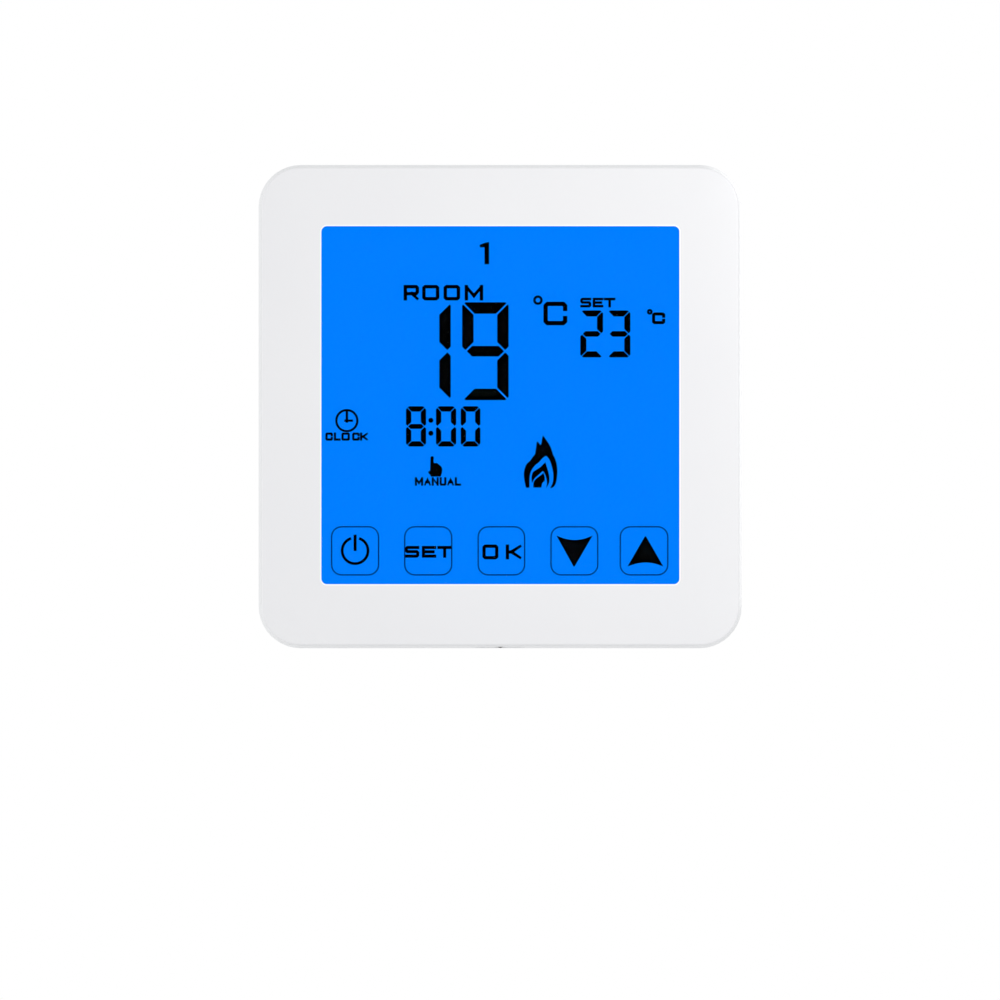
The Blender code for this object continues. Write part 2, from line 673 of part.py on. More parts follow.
cut(mid_frame, add_cutter("floor_screw_holes", drums(
    "floor_screw_holes", SCREW_SHANK + BORE_GAP, (floor_front - PAST, floor_rear + PAST),
    flange_screws, BORE_STEPS)))
cut(mid_frame, add_cutter("pry_slots", boxes("pry_slots", both_sides([
    ((PRY_X - PRY_WIDTH / 2, PRY_X + PRY_WIDTH / 2),
     (mid_front - PAST, mid_front + PRY_TALL), (-body_half - PAST, -inner_half + PAST))]))))

# eight spring tabs hook over the plate's edge, each between two slits
tab_rear = plate_front - LAYER_GAP
tab_front = tab_rear - TAB_TALL
outside = (-body_half - PAST, -skirt_half + 0.2 * MM)
slits = []
for middle in (-TAB_X, TAB_X):
    for side in (-1, 1):
        slit = middle + side * (TAB_WIDTH + TAB_SLIT) / 2
        slits.append(((slit - TAB_SLIT / 2, slit + TAB_SLIT / 2),
                      (tab_front, mid_rear + PAST), outside))
cut(mid_frame, add_cutter("tab_slits", boxes("tab_slits", on_every_edge(slits))))
tab_ends = [((middle - TAB_WIDTH / 2 - TAB_SLIT / 2, middle + TAB_WIDTH / 2 + TAB_SLIT / 2),
             (tab_rear, mid_rear + PAST), outside) for middle in (-TAB_X, TAB_X)]
cut(mid_frame, add_cutter("tab_ends", boxes("tab_ends", on_every_edge(tab_ends))))

hinge_span = (-body_half - PAST, -body_half + REAR_DRAFT * 0.7 + 0.15 * MM)
hinge_lines = [((middle - TAB_WIDTH / 2 - TAB_SLIT / 2, middle + TAB_WIDTH / 2 + TAB_SLIT / 2),
                (tab_front - 0.1 * MM, tab_front + 0.1 * MM), hinge_span)
               for middle in (-TAB_X, TAB_X)]
cut(mid_frame, add_cutter("tab_hinge_lines", boxes("tab_hinge_lines", on_every_edge(hinge_lines))))

# a rib in the middle of each edge locates the plate's notch
key_span = (-body_half + REAR_DRAFT + 0.1 * MM, -rebate_half + 0.7 * MM)
join(mid_frame, add_cutter("plate_keys", boxes("plate_keys", on_every_edge([
    ((-KEY, KEY), (mid_rear - 0.8 * MM, mid_rear + 0.55 * MM), key_span)]))))

# ---- rear half: steel plate -----------------------------------------------------------
plate_corner = rebate_corner - SIDE_GAP
mounting_plate = add_piece(
    "mounting_plate",
    slab("mounting_plate", plate_half, plate_half, plate_front, plate_rear, plate_corner),
    (0, 0, 0), BLACK_STEEL, base)
plate_rim = add_cutter("plate_rim", slab(
    "plate_rim", plate_half, plate_half, plate_rear - 0.4 * MM, 0.0, plate_corner))
cut(plate_rim, add_cutter("rim_inside", slab(
    "rim_inside", plate_half - PLATE_RIM, plate_half - PLATE_RIM, plate_front - PAST, PAST,
    plate_corner - PLATE_RIM)))
rim_zone = ((plate_rear - 0.5 * MM, 0.001 * MM), (-body_half - PAST, -plate_half + PLATE_RIM + PAST))
rim_gaps = [((-BAR_NEAR, BAR_NEAR), *rim_zone)]
for middle in (-TAB_X, TAB_X):
    rim_gaps.append(((middle - BAR_END, middle + BAR_END), *rim_zone))
cut(plate_rim, add_cutter("rim_gaps", boxes("rim_gaps", on_every_edge(rim_gaps), BAR_SLOPE)))
join(mounting_plate, plate_rim)
tongue_wide = TAB_WIDTH / 2 + TAB_SLIT - LAYER_GAP
tongues = [((middle - tongue_wide, middle + tongue_wide), (plate_front, plate_rear),
            (-body_half + REAR_DRAFT + 0.1 * MM, -plate_half + 0.5 * MM))
           for middle in (-TAB_X, TAB_X)]
join(mounting_plate, add_cutter("plate_tongues", boxes("plate_tongues", on_every_edge(tongues))))
cut(mounting_plate, add_cutter("plate_opening", slab(
    "plate_opening", box_half + SIDE_GAP, box_half + SIDE_GAP, plate_front - PAST, PAST,
    BOX_CHAMFER, 1)))
cut(mounting_plate, add_cutter("plate_notches", boxes("plate_notches", on_every_edge([
    ((-NOTCH, NOTCH), (plate_front - PAST, PAST), (-body_half, -rebate_half + 1.1 * MM))]))))
slot = slab("wall_screw_slots", *WALL_SLOT, plate_front - PAST, PAST, WALL_SLOT[0] * 0.98, 6)
for side, name in ((-1, "left_screw_slot"), (1, "right_screw_slot")):
    cut(mounting_plate, add_cutter(name, slot, (side * wall_screw_x, 0, 0)))
cut(mounting_plate, add_cutter("plate_threads", drums(
    "plate_threads", SCREW_SHANK + BORE_GAP / 2, (plate_front - PAST, PAST), flange_screws, BORE_STEPS)))

# ---- rear half: box in the wall -------------------------------------------------------
rear_box = add_piece(
    "rear_box",
    slab("rear_box", box_half, box_half, flange_rear - 0.4 * MM, BOX_DEPTH, BOX_CHAMFER, 1,
         narrow_rear=BOX_DRAFT),
    (0, 0, 0), GREY_PLASTIC, base)
join(rear_box, add_cutter("box_flange", slab(
    "box_flange", flange_half, flange_half, flange_front, flange_rear, 3.0 * MM, 4)))
cut(rear_box, add_cutter("box_hollow", slab(
    "box_hollow", box_inner_half, box_inner_half, flange_front - PAST, box_floor,
    box_inner_chamfer, 1, narrow_rear=BOX_DRAFT)))
vent_front = BOX_DEPTH - VENT_LENGTH
vents = []
for number in range(VENTS):
    middle = (number - (VENTS - 1) / 2) * VENT_PITCH
    span_x = (middle - VENT_WIDTH / 2, middle + VENT_WIDTH / 2)
    for side in (-1, 1):
        span_z = sorted((side * (box_half + PAST), side * (box_inner_half - BOX_DRAFT)))
        vents.append((span_x, (vent_front, BOX_DEPTH + PAST), tuple(span_z)))
cut(rear_box, add_cutter("vents", boxes("vents", vents)))
cut(rear_box, add_cutter("terminal_window", boxes("terminal_window", [
    ((-strip_half - LAYER_GAP, strip_half + LAYER_GAP), (box_floor - LAYER_GAP, BOX_DEPTH + PAST),
     (STRIP_LOW_Z - LAYER_GAP, STRIP_HIGH_Z + LAYER_GAP))])))
cut(rear_box, add_cutter("flange_screw_holes", drums(
    "flange_screw_holes", SCREW_SHANK + BORE_GAP, (flange_front - PAST, flange_rear + PAST),
    flange_screws, BORE_STEPS)))

plate_screw = screw_mesh("plate_screw", SCREW_HEAD, SCREW_HEAD_TALL, SCREW_SHANK,
                         plate_rear - floor_front + LAYER_GAP, BORE_STEPS)
for number, (x, z) in enumerate(flange_screws, 1):
    add_piece(f"plate_screw_{number}", plate_screw, (x, floor_front - LAYER_GAP, z), STEEL, base,
              turn=(math.pi / 2, 0, 0))

# ---- rear half: power board and its parts ---------------------------------------------
add_piece(
    "power_board",
    slab("power_board", power_half, power_half, power_front, power_rear,
         box_inner_chamfer, 1),
    (0, 0, 0), GREEN_BOARD, base)


def power_part(name, size, place, look, corner=0.4 * MM, steps=2, rim=0.3 * MM):
    """A block that stands on the power board's front side: size is (x, y, z)."""
    return add_piece(name, slab(name, size[0] / 2, size[2] / 2, -size[1], 0.0, corner, steps,
                                rim_front=rim, rim_steps=1),
                     (place[0], parts_rear, place[1]), look, base)


power_part("relay", (18.4 * MM, 15.2 * MM, 15.0 * MM), (-10.6 * MM, -2.3 * MM),
           ((0.03, 0.06, 0.2), 0.35))
power_part("film_capacitor", (17.5 * MM, 11.5 * MM, 5.6 * MM), (-0.6 * MM, -16.3 * MM),
           BLACK_PLASTIC)
power_part("varistor", (8.8 * MM, 10.5 * MM, 3.8 * MM), (13.4 * MM, 10.8 * MM),
           ((0.02, 0.1, 0.35), 0.4), corner=1.6 * MM, steps=4, rim=1.4 * MM)

transformer = power_part("transformer", TRANSFORMER, TRANSFORMER_PLACE,
                         ((0.05, 0.05, 0.055), 0.5), corner=0.3 * MM, steps=1)
waist_half = TRANSFORMER[2] / 2 - WAIST_SHORT
for side, name in ((-1, "core_waist_left"), (1, "core_waist_right")):
    waist_x = TRANSFORMER_PLACE[0] + side * TRANSFORMER[0] / 2
    cut(transformer, add_cutter(name, boxes(name, [
        ((waist_x - WAIST_DEEP, waist_x + WAIST_DEEP),
         (parts_rear - TRANSFORMER[1] - PAST, parts_rear - TRANSFORMER_FOOT),
         (TRANSFORMER_PLACE[1] - waist_half, TRANSFORMER_PLACE[1] + waist_half))])))


def power_can(name, radius, tall, place, look, groove=0.0):
    """A round can that stands on the power board's front side, its top towards the room."""
    piece = can(name, radius, tall, place, look, base, parts_rear, groove)
    piece.rotation_euler = (math.pi / 2, 0, 0)
    return piece


power_can("electrolytic_capacitor", 5.0 * MM, 16.0 * MM, (-13.2 * MM, 12.0 * MM),
          ((0.02, 0.02, 0.06), 0.35), groove=1.6 * MM)
power_can("fuse", 4.1 * MM, 7.7 * MM, (13.8 * MM, -15.2 * MM), ((0.05, 0.04, 0.035), 0.4))

header_front = socket_rear + LAYER_GAP * 2
board_header = add_piece(
    "board_header",
    slab("board_header", SOCKET_SIZE[0] / 2, SOCKET_SIZE[2] / 2, header_front, parts_rear,
         0.2 * MM, 1),
    (SOCKET_PLACE[0], 0, SOCKET_PLACE[1]), BLACK_PLASTIC, base)
pin_front = behind + 2.6 * MM
join(board_header, add_cutter("header_pins", boxes("header_pins", [
    ((x - PIN, x + PIN), (pin_front, header_front + 1.0 * MM), (z - PIN, z + PIN))
    for x, z in pin_places])))

# ---- rear half: terminal strip --------------------------------------------------------
terminal_block = add_piece(
    "terminal_block",
    boxes("terminal_block", [((-power_half, power_half),
                              (strip_front, box_floor + 0.6 * MM),
                              (STRIP_LOW_Z + 1.4 * MM, STRIP_HIGH_Z))]),
    (0, 0, 0), ((0.50, 0.51, 0.47), 0.5), base)
join(terminal_block, add_cutter("strip_head", boxes("strip_head", [
    ((-strip_half, strip_half), (box_floor, strip_rear), (STRIP_LOW_Z, STRIP_HIGH_Z))])))
terminal_xs = [(number - (TERMINALS - 1) / 2) * TERMINAL_PITCH for number in range(TERMINALS)]
bay_top = STRIP_HIGH_Z - 1.0 * MM
cut(terminal_block, add_cutter("terminal_bays", boxes("terminal_bays", [
    ((x - bay_width / 2, x + bay_width / 2), (bay_floor, strip_rear + PAST),
     (STRIP_LOW_Z - PAST, bay_top)) for x in terminal_xs])))
clamp_z = (STRIP_LOW_Z + bay_top) / 2
clamp_front = bay_floor + LAYER_GAP
clamp_rear = clamp_front + CLAMP_THICK
head_seat = clamp_rear + LAYER_GAP
screw_tip = head_seat - TERMINAL_SCREW_LONG
cut(terminal_block, add_cutter("terminal_bores", drums(
    "terminal_bores", TERMINAL_SHANK + BORE_GAP / 2, (screw_tip - 0.6 * MM, strip_rear + PAST),
    [(x, clamp_z) for x in terminal_xs], BORE_STEPS)))

terminal_screw = screw_mesh("terminal_screw", TERMINAL_HEAD, TERMINAL_HEAD_TALL, TERMINAL_SHANK,
                            TERMINAL_SCREW_LONG, BORE_STEPS)
clamp_half = bay_width / 2 - 0.25 * MM
clamp = add_cutter("terminal_clamp", slab(
    "terminal_clamp", clamp_half, CLAMP_TALL / 2, 0.0, CLAMP_THICK, 0.4 * MM, 1))
cut(clamp, add_cutter("clamp_hole", drums(
    "clamp_hole", TERMINAL_SHANK + BORE_GAP, (-PAST, PAST), [(0.0, 0.0)], BORE_STEPS)))
clamp_mesh = plain(clamp)
for number, x in enumerate(terminal_xs, 1):
    add_piece(f"terminal_clamp_{number}", clamp_mesh, (x, clamp_front, clamp_z), STEEL, base)
    add_piece(f"terminal_screw_{number}", terminal_screw, (x, head_seat, clamp_z), STEEL, base,
              turn=(-math.pi / 2, 0, 0))
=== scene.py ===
"""Square wall thermostat: a vented power box, a steel plate, a plastic back frame and a front unit with a
backlit display behind a touch panel. Sizes are millimetres times MM; the wall is the plane y = 0."""

import math

import bmesh
import bpy
import numpy as np
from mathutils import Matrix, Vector


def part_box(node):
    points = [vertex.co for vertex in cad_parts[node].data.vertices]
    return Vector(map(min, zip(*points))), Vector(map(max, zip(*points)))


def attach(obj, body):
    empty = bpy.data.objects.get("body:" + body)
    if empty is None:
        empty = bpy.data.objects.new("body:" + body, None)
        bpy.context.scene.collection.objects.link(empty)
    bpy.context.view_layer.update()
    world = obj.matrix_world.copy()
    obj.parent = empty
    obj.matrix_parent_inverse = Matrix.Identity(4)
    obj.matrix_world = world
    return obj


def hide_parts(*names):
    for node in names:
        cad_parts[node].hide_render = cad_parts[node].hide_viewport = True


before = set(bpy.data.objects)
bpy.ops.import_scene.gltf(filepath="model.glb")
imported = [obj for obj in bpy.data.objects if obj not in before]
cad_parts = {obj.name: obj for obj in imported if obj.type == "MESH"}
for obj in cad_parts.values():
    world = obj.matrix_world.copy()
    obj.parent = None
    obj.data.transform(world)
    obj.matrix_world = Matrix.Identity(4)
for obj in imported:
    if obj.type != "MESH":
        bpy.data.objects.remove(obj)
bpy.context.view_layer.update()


# ---- box ----------------------------------------------------------------------------------
# The deep box that goes into the wall: light grey ABS, moulded in one shot with its vents.
# Four screws through its flange hold it to the steel plate.
MM = 0.001


def screen_colour(red, green, blue):
    """Screen values from 0 to 255 as linear light: v / 12.92 near black, ((v + 0.055) / 1.055) ** 2.4 above."""
    value = np.array([red, green, blue]) / 255
    light = np.where(value <= 0.04045, value / 12.92, ((value + 0.055) / 1.055) ** 2.4)
    return (*light.tolist(), 1.0)


def mould_grain_group():
    """Grain of a moulded, rolled or coated surface: two colours mixed by soft patches, and a fine noise that
    moves the roughness about its middle and gives the height of the grain."""
    group = bpy.data.node_groups.new("mould_grain", "ShaderNodeTree")
    for name, kind in (("Place", "NodeSocketVector"), ("Colour", "NodeSocketColor"), ("Shade", "NodeSocketColor"),
                       ("Patches", "NodeSocketFloat"), ("Grains", "NodeSocketFloat"),
                       ("Roughness", "NodeSocketFloat"), ("Spread", "NodeSocketFloat")):
        group.interface.new_socket(name, in_out="INPUT", socket_type=kind)
    for name, kind in (("Colour", "NodeSocketColor"), ("Roughness", "NodeSocketFloat"),
                       ("Height", "NodeSocketFloat")):
        group.interface.new_socket(name, in_out="OUTPUT", socket_type=kind)
    nodes, links = group.nodes, group.links
    given, result = nodes.new("NodeGroupInput"), nodes.new("NodeGroupOutput")
    patches, grains = nodes.new("ShaderNodeTexNoise"), nodes.new("ShaderNodeTexNoise")
    patches.inputs["Detail"].default_value = 2.0
    grains.inputs["Detail"].default_value = 3.0
    links.new(given.outputs["Place"], patches.inputs["Vector"])
    links.new(given.outputs["Place"], grains.inputs["Vector"])
    links.new(given.outputs["Patches"], patches.inputs["Scale"])
    links.new(given.outputs["Grains"], grains.inputs["Scale"])
    mix = nodes.new("ShaderNodeMix")
    mix.data_type = "RGBA"
    links.new(patches.outputs["Fac"], mix.inputs["Factor"])
    links.new(given.outputs["Colour"], mix.inputs["A"])
    links.new(given.outputs["Shade"], mix.inputs["B"])
    centred = nodes.new("ShaderNodeMath")
    centred.operation = "SUBTRACT"
    centred.inputs[1].default_value = 0.5
    links.new(grains.outputs["Fac"], centred.inputs[0])
    spread = nodes.new("ShaderNodeMath")
    spread.operation = "MULTIPLY_ADD"
    links.new(centred.outputs["Value"], spread.inputs[0])
    links.new(given.outputs["Spread"], spread.inputs[1])
    links.new(given.outputs["Roughness"], spread.inputs[2])
    links.new(mix.outputs["Result"], result.inputs["Colour"])
    links.new(spread.outputs["Value"], result.inputs["Roughness"])
    links.new(grains.outputs["Fac"], result.inputs["Height"])
    return group


mould_grain = mould_grain_group()


def grained(name, colour, shade, roughness, patch=18.0, grain=0.25, spread=0.12, relief=0.004,
            stretch=(1.0, 1.0, 1.0), **settings):
    """A material with mould_grain. Patch, grain and relief are in millimetres; settings are shader sockets,
    with _ for a space."""
    material = bpy.data.materials.new(name)
    material.use_nodes = True
    nodes, links = material.node_tree.nodes, material.node_tree.links
    shader = nodes["Principled BSDF"]
    place, turn = nodes.new("ShaderNodeTexCoord"), nodes.new("ShaderNodeMapping")
    turn.inputs["Scale"].default_value = stretch
    links.new(place.outputs["Object"], turn.inputs["Vector"])
    surface = nodes.new("ShaderNodeGroup")
    surface.node_tree = mould_grain
    links.new(turn.outputs["Vector"], surface.inputs["Place"])
    surface.inputs["Colour"].default_value = screen_colour(*colour)
    surface.inputs["Shade"].default_value = screen_colour(*shade)
    surface.inputs["Patches"].default_value = 1 / (patch * MM)
    surface.inputs["Grains"].default_value = 1 / (grain * MM)
    surface.inputs["Roughness"].default_value = roughness
    surface.inputs["Spread"].default_value = spread
    links.new(surface.outputs["Colour"], shader.inputs["Base Color"])
    links.new(surface.outputs["Roughness"], shader.inputs["Roughness"])
    bump = nodes.new("ShaderNodeBump")
    bump.inputs["Strength"].default_value = 0.6
    bump.inputs["Distance"].default_value = relief * MM
    links.new(surface.outputs["Height"], bump.inputs["Height"])
    links.new(bump.outputs["Normal"], shader.inputs["Normal"])
    for socket, value in settings.items():
        shader.inputs[socket.replace("_", " ")].default_value = value
    return material


EDGE_STEPS = 2
EDGE_ANGLE = 28.0


def softened(node, radius, finish, one_face=True):
    """A copy of a frame solid, with a Bevel on the edges that turn by more than EDGE_ANGLE. Its triangles are
    merged, and with one_face each flat stretch becomes one face first. Screws keep their triangles, since a
    face with a cross cut out of it can't be one face."""
    shell = bmesh.new()
    shell.from_mesh(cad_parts[node].data)
    bmesh.ops.remove_doubles(shell, verts=shell.verts, dist=0.0005 * MM)
    if one_face:
        bmesh.ops.dissolve_limit(shell, angle_limit=math.radians(1.0), verts=shell.verts, edges=shell.edges)
    mesh = bpy.data.meshes.new(f"{node}_finish")
    shell.to_mesh(mesh)
    shell.free()
    mesh.materials.clear()
    mesh.materials.append(finish)
    mesh.shade_smooth()
    piece = bpy.data.objects.new(mesh.name, mesh)
    bpy.context.collection.objects.link(piece)
    rounding = piece.modifiers.new("rounded_edges", "BEVEL")
    rounding.width = radius * MM
    rounding.segments = EDGE_STEPS
    rounding.limit_method = "ANGLE"
    rounding.angle_limit = math.radians(EDGE_ANGLE)
    weighted = piece.modifiers.new("flat_faces_lead", "WEIGHTED_NORMAL")
    weighted.weight = 100
    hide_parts(node)
    return piece


box_plastic = grained("box_plastic", (214, 214, 211), (207, 207, 204), 0.46, relief=0.006)
box = softened("rear_box", 0.12, box_plastic)
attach(box, "base")


# ---- power board --------------------------------------------------------------------------
# A green glass-epoxy board at the back of the box, with the mains parts soldered to its front.
# Copper tracks show through the solder mask.
TRACK_ROW = 0.45


def board_tracks_group():
    """Copper under solder mask: straight runs from a brick pattern's joints, and a fine weave of the glass
    cloth. A row of bricks is TRACK_ROW of the pattern's unit high."""
    group = bpy.data.node_groups.new("board_tracks", "ShaderNodeTree")
    for name, kind in (("Place", "NodeSocketVector"), ("Mask", "NodeSocketColor"), ("Track", "NodeSocketColor"),
                       ("Pitch", "NodeSocketFloat"), ("Weave", "NodeSocketFloat")):
        group.interface.new_socket(name, in_out="INPUT", socket_type=kind)
    group.interface.new_socket("Colour", in_out="OUTPUT", socket_type="NodeSocketColor")
    group.interface.new_socket("Height", in_out="OUTPUT", socket_type="NodeSocketFloat")
    nodes, links = group.nodes, group.links
    given, result = nodes.new("NodeGroupInput"), nodes.new("NodeGroupOutput")
    across = nodes.new("ShaderNodeMapping")
    across.inputs["Rotation"].default_value = (math.radians(90), 0.0, 0.0)
    runs = nodes.new("ShaderNodeTexBrick")
    runs.inputs["Mortar Size"].default_value = 0.07
    runs.inputs["Mortar Smooth"].default_value = 0.1
    runs.inputs["Brick Width"].default_value = 2.3
    runs.inputs["Row Height"].default_value = TRACK_ROW
    cloth = nodes.new("ShaderNodeTexNoise")
    mix = nodes.new("ShaderNodeMix")
    mix.data_type = "RGBA"
    links.new(given.outputs["Place"], across.inputs["Vector"])
    links.new(across.outputs["Vector"], runs.inputs["Vector"])
    links.new(given.outputs["Pitch"], runs.inputs["Scale"])
    links.new(given.outputs["Place"], cloth.inputs["Vector"])
    links.new(given.outputs["Weave"], cloth.inputs["Scale"])
    links.new(runs.outputs["Fac"], mix.inputs["Factor"])
    links.new(given.outputs["Mask"], mix.inputs["A"])
    links.new(given.outputs["Track"], mix.inputs["B"])
    lift = nodes.new("ShaderNodeMath")
    lift.operation = "MULTIPLY_ADD"
    lift.inputs[1].default_value = 0.15
    links.new(cloth.outputs["Fac"], lift.inputs[0])
    links.new(runs.outputs["Fac"], lift.inputs[2])
    links.new(mix.outputs["Result"], result.inputs["Colour"])
    links.new(lift.outputs["Value"], result.inputs["Height"])
    return group


board_tracks = board_tracks_group()


def solder_mask(name, mask, track, pitch):
    """A circuit board's material; pitch is the tracks' spacing in millimetres."""
    material = bpy.data.materials.new(name)
    material.use_nodes = True
    nodes, links = material.node_tree.nodes, material.node_tree.links
    shader = nodes["Principled BSDF"]
    place, board = nodes.new("ShaderNodeTexCoord"), nodes.new("ShaderNodeGroup")
    board.node_tree = board_tracks
    board.inputs["Mask"].default_value = screen_colour(*mask)
    board.inputs["Track"].default_value = screen_colour(*track)
    board.inputs["Pitch"].default_value = TRACK_ROW / (pitch * MM)
    board.inputs["Weave"].default_value = 1 / (0.3 * MM)
    bump = nodes.new("ShaderNodeBump")
    bump.inputs["Distance"].default_value = 0.03 * MM
    links.new(place.outputs["Object"], board.inputs["Place"])
    links.new(board.outputs["Colour"], shader.inputs["Base Color"])
    links.new(board.outputs["Height"], bump.inputs["Height"])
    links.new(bump.outputs["Normal"], shader.inputs["Normal"])
    shader.inputs["Roughness"].default_value = 0.34
    shader.inputs["Coat Weight"].default_value = 0.3
    return material


def cover(node, finish):
    """Gives a frame solid that stays in view its finish."""
    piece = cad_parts[node]
    if not piece.material_slots:
        piece.data.materials.append(None)
    for place in piece.material_slots:
        place.material = finish


# The power board's mask and tracks are darker than the display board's, as painted shade for the dim inside of
# the box.
power_mask_painted_shade = solder_mask("power_mask_painted_shade", (14, 66, 38), (22, 88, 50), 1.9)
cover("power_board", power_mask_painted_shade)


def skin(name, bodies, finish, smooth=30.0, ring=False):
    """One mesh of closed bodies, each an array: loops x points x 3. Each loop is joined to the next by quads; the
    end loops are closed by flat faces, or joined to each other for a ring. The order of points is turned round
    where the enclosed volume comes out negative, so that faces point outwards. Edges over smooth degrees stay
    sharp."""
    spots, faces = [], []
    start = 0
    for body in bodies:
        body = np.asarray(body, float)
        loops, points = body.shape[:2]
        rows = np.arange(loops if ring else loops - 1)[:, None]
        near, far = np.arange(points)[None, :], (np.arange(points)[None, :] + 1) % points
        quads = np.stack([rows * points + near, rows * points + far, (rows + 1) % loops * points + far,
                          (rows + 1) % loops * points + near], axis=-1).reshape(-1, 4)
        flat = body.reshape(-1, 3)
        a, b, c, d = (flat[quads[:, i]] - flat.mean(axis=0) for i in range(4))
        volume = np.einsum("ij,ij->", a, np.cross(b, c)) + np.einsum("ij,ij->", a, np.cross(c, d))
        if not ring:
            for loop, sign in ((body[0], -1.0), (body[-1], 1.0)):
                edge = loop - flat.mean(axis=0)
                middle = np.broadcast_to(edge.mean(axis=0), edge.shape)
                volume += sign * np.einsum("ij,ij->", middle, np.cross(edge, np.roll(edge, -1, axis=0)))
        caps = [] if ring else [np.arange(points)[::-1], np.arange(points) + (loops - 1) * points]
        if volume < 0:
            quads = quads[:, ::-1]
            caps = [cap[::-1] for cap in caps]
        spots.append(flat)
        faces += (quads + start).tolist() + [(cap + start).tolist() for cap in caps]
        start += len(flat)
    mesh = bpy.data.meshes.new(name)
    mesh.from_pydata(np.concatenate(spots).tolist(), [], faces)
    mesh.materials.append(finish)
    mesh.shade_smooth()
    mesh.set_sharp_from_angle(angle=math.radians(smooth))
    mesh.validate()
    piece = bpy.data.objects.new(name, mesh)
    bpy.context.collection.objects.link(piece)
    return piece


def pillows(middles, halves, squareness=0.22, rows=9, points=24):
    """Round-edged blocks, one for each middle (k x 3) and half size (k x 3): x = a cos(u)^e cos(v)^e,
    y = b sin(u)^e, z = c cos(u)^e sin(v)^e, with e the squareness, 1 for a ball and near 0 for a box."""
    def power(value):
        return np.sign(value) * np.abs(value) ** squareness
    u = np.linspace(-0.5, 0.5, rows + 2)[1:-1, None] * math.pi * 0.999
    v = np.linspace(0, 2 * math.pi, points, endpoint=False)[None, :]
    unit = np.stack([power(np.cos(u)) * power(np.cos(v)), power(np.sin(u)) + 0 * v,
                     power(np.cos(u)) * power(np.sin(v))], axis=-1)
    unit[..., 1] /= np.abs(unit[..., 1]).max()
    return np.asarray(middles)[:, None, None, :] + unit[None] * np.asarray(halves)[:, None, None, :]


tin = grained("solder_tin", (196, 197, 196), (170, 171, 170), 0.24, patch=1.5, grain=0.2, Metallic=1.0)
chip_black = grained("chip_black", (30, 30, 31), (38, 38, 39), 0.5, patch=2.0, grain=0.1)
resistor_cream = grained("resistor_cream", (188, 170, 128), (176, 158, 118), 0.45, patch=2.0, grain=0.1)
power_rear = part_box("power_board")[1].y
# Rows of solder joints on the board's rear, with about one place in five left empty.
JOINT_ROWS = (19.5, 16.5, 12.0, 5.5, -3.0)
JOINT_COLUMNS = np.linspace(-18, 18, 13)
JOINT_HALF = (0.75, 0.35, 0.75)
JOINT_LIFT = 0.18
joint_x, joint_z = np.meshgrid(JOINT_COLUMNS, JOINT_ROWS)
joint_y = np.full_like(joint_x, power_rear / MM + JOINT_LIFT)
joint_middles = np.stack([joint_x, joint_y, joint_z], axis=-1).reshape(-1, 3) * MM
joint_middles = joint_middles[(np.arange(len(joint_middles)) * 7) % 5 != 2]
joint_halves = np.tile(np.array(JOINT_HALF) * MM, (len(joint_middles), 1))
power_joints = skin("power_board_solder_joints", pillows(joint_middles, joint_halves, 0.9, 7, 16), tin)
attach(power_joints, "base")


# ---- mains parts --------------------------------------------------------------------------
# Relay in a blue case, ferrite transformer with a taped winding, sleeved electrolytic, boxed film
# capacitor, disc varistor and a round fuse. All are soldered to the front of the power board.
relay_blue = grained("relay_blue", (28, 62, 140), (36, 70, 148), 0.32, patch=6.0, Coat_Weight=0.2)
ferrite = grained("ferrite_and_tape", (52, 50, 49), (66, 62, 58), 0.55, patch=4.0, relief=0.02)
sleeve = grained("capacitor_sleeve", (24, 26, 50), (30, 32, 58), 0.28, patch=5.0)
# The film capacitor's case is near black as painted shade, standing for the dark inside of the box seen through
# the vents.
film_case_painted_shade = grained("film_capacitor_case", (34, 34, 36), (42, 42, 44), 0.42, patch=5.0)
varistor_blue = grained("varistor_coat", (34, 84, 150), (40, 92, 160), 0.35, patch=3.0)
fuse_black = grained("fuse_case", (32, 32, 33), (40, 40, 41), 0.42, patch=3.0)
header_black = grained("header_plastic", (26, 26, 27), (34, 34, 35), 0.42, patch=4.0)
for node, look, place, radius in (("relay", relay_blue, "relay_case", 0.35),
                                  ("transformer", ferrite, "transformer_core", 0.2),
                                  ("electrolytic_capacitor", sleeve, "capacitor_sleeve", 0.3),
                                  ("film_capacitor", film_case_painted_shade, "film_capacitor_case", 0.3),
                                  ("varistor", varistor_blue, "varistor_coat", 0.4),
                                  ("fuse", fuse_black, "fuse_case", 0.3),
                                  ("board_header", header_black, "black_plastic", 0.08)):
    part = softened(node, radius, look)
    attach(part, "base")


def coil_turns(middle, radius, low, high, turns, wire, steps=40, around=10):
    """A wire wound round a rod: the path is a circle that climbs evenly along y, and a circle of the wire's
    radius is carried along it. steps is points a turn, and around is points round the wire."""
    t = np.linspace(0, turns, turns * steps + 1)
    angle = 2 * math.pi * t
    path = np.stack([middle[0] + radius * np.cos(angle), low + (high - low) * t / turns,
                     middle[1] + radius * np.sin(angle)], axis=-1)
    out = np.stack([np.cos(angle), 0 * t, np.sin(angle)], axis=-1)
    up = np.broadcast_to([0.0, 1.0, 0.0], out.shape)
    ring = np.linspace(0, 2 * math.pi, around, endpoint=False)
    across = np.cos(ring)[None, :, None] * out[:, None] + np.sin(ring)[None, :, None] * up[:, None]
    return path[:, None] + wire * across


copper = grained("enamelled_copper", (168, 84, 44), (150, 72, 38), 0.3, patch=1.0, grain=0.1, Metallic=1.0)
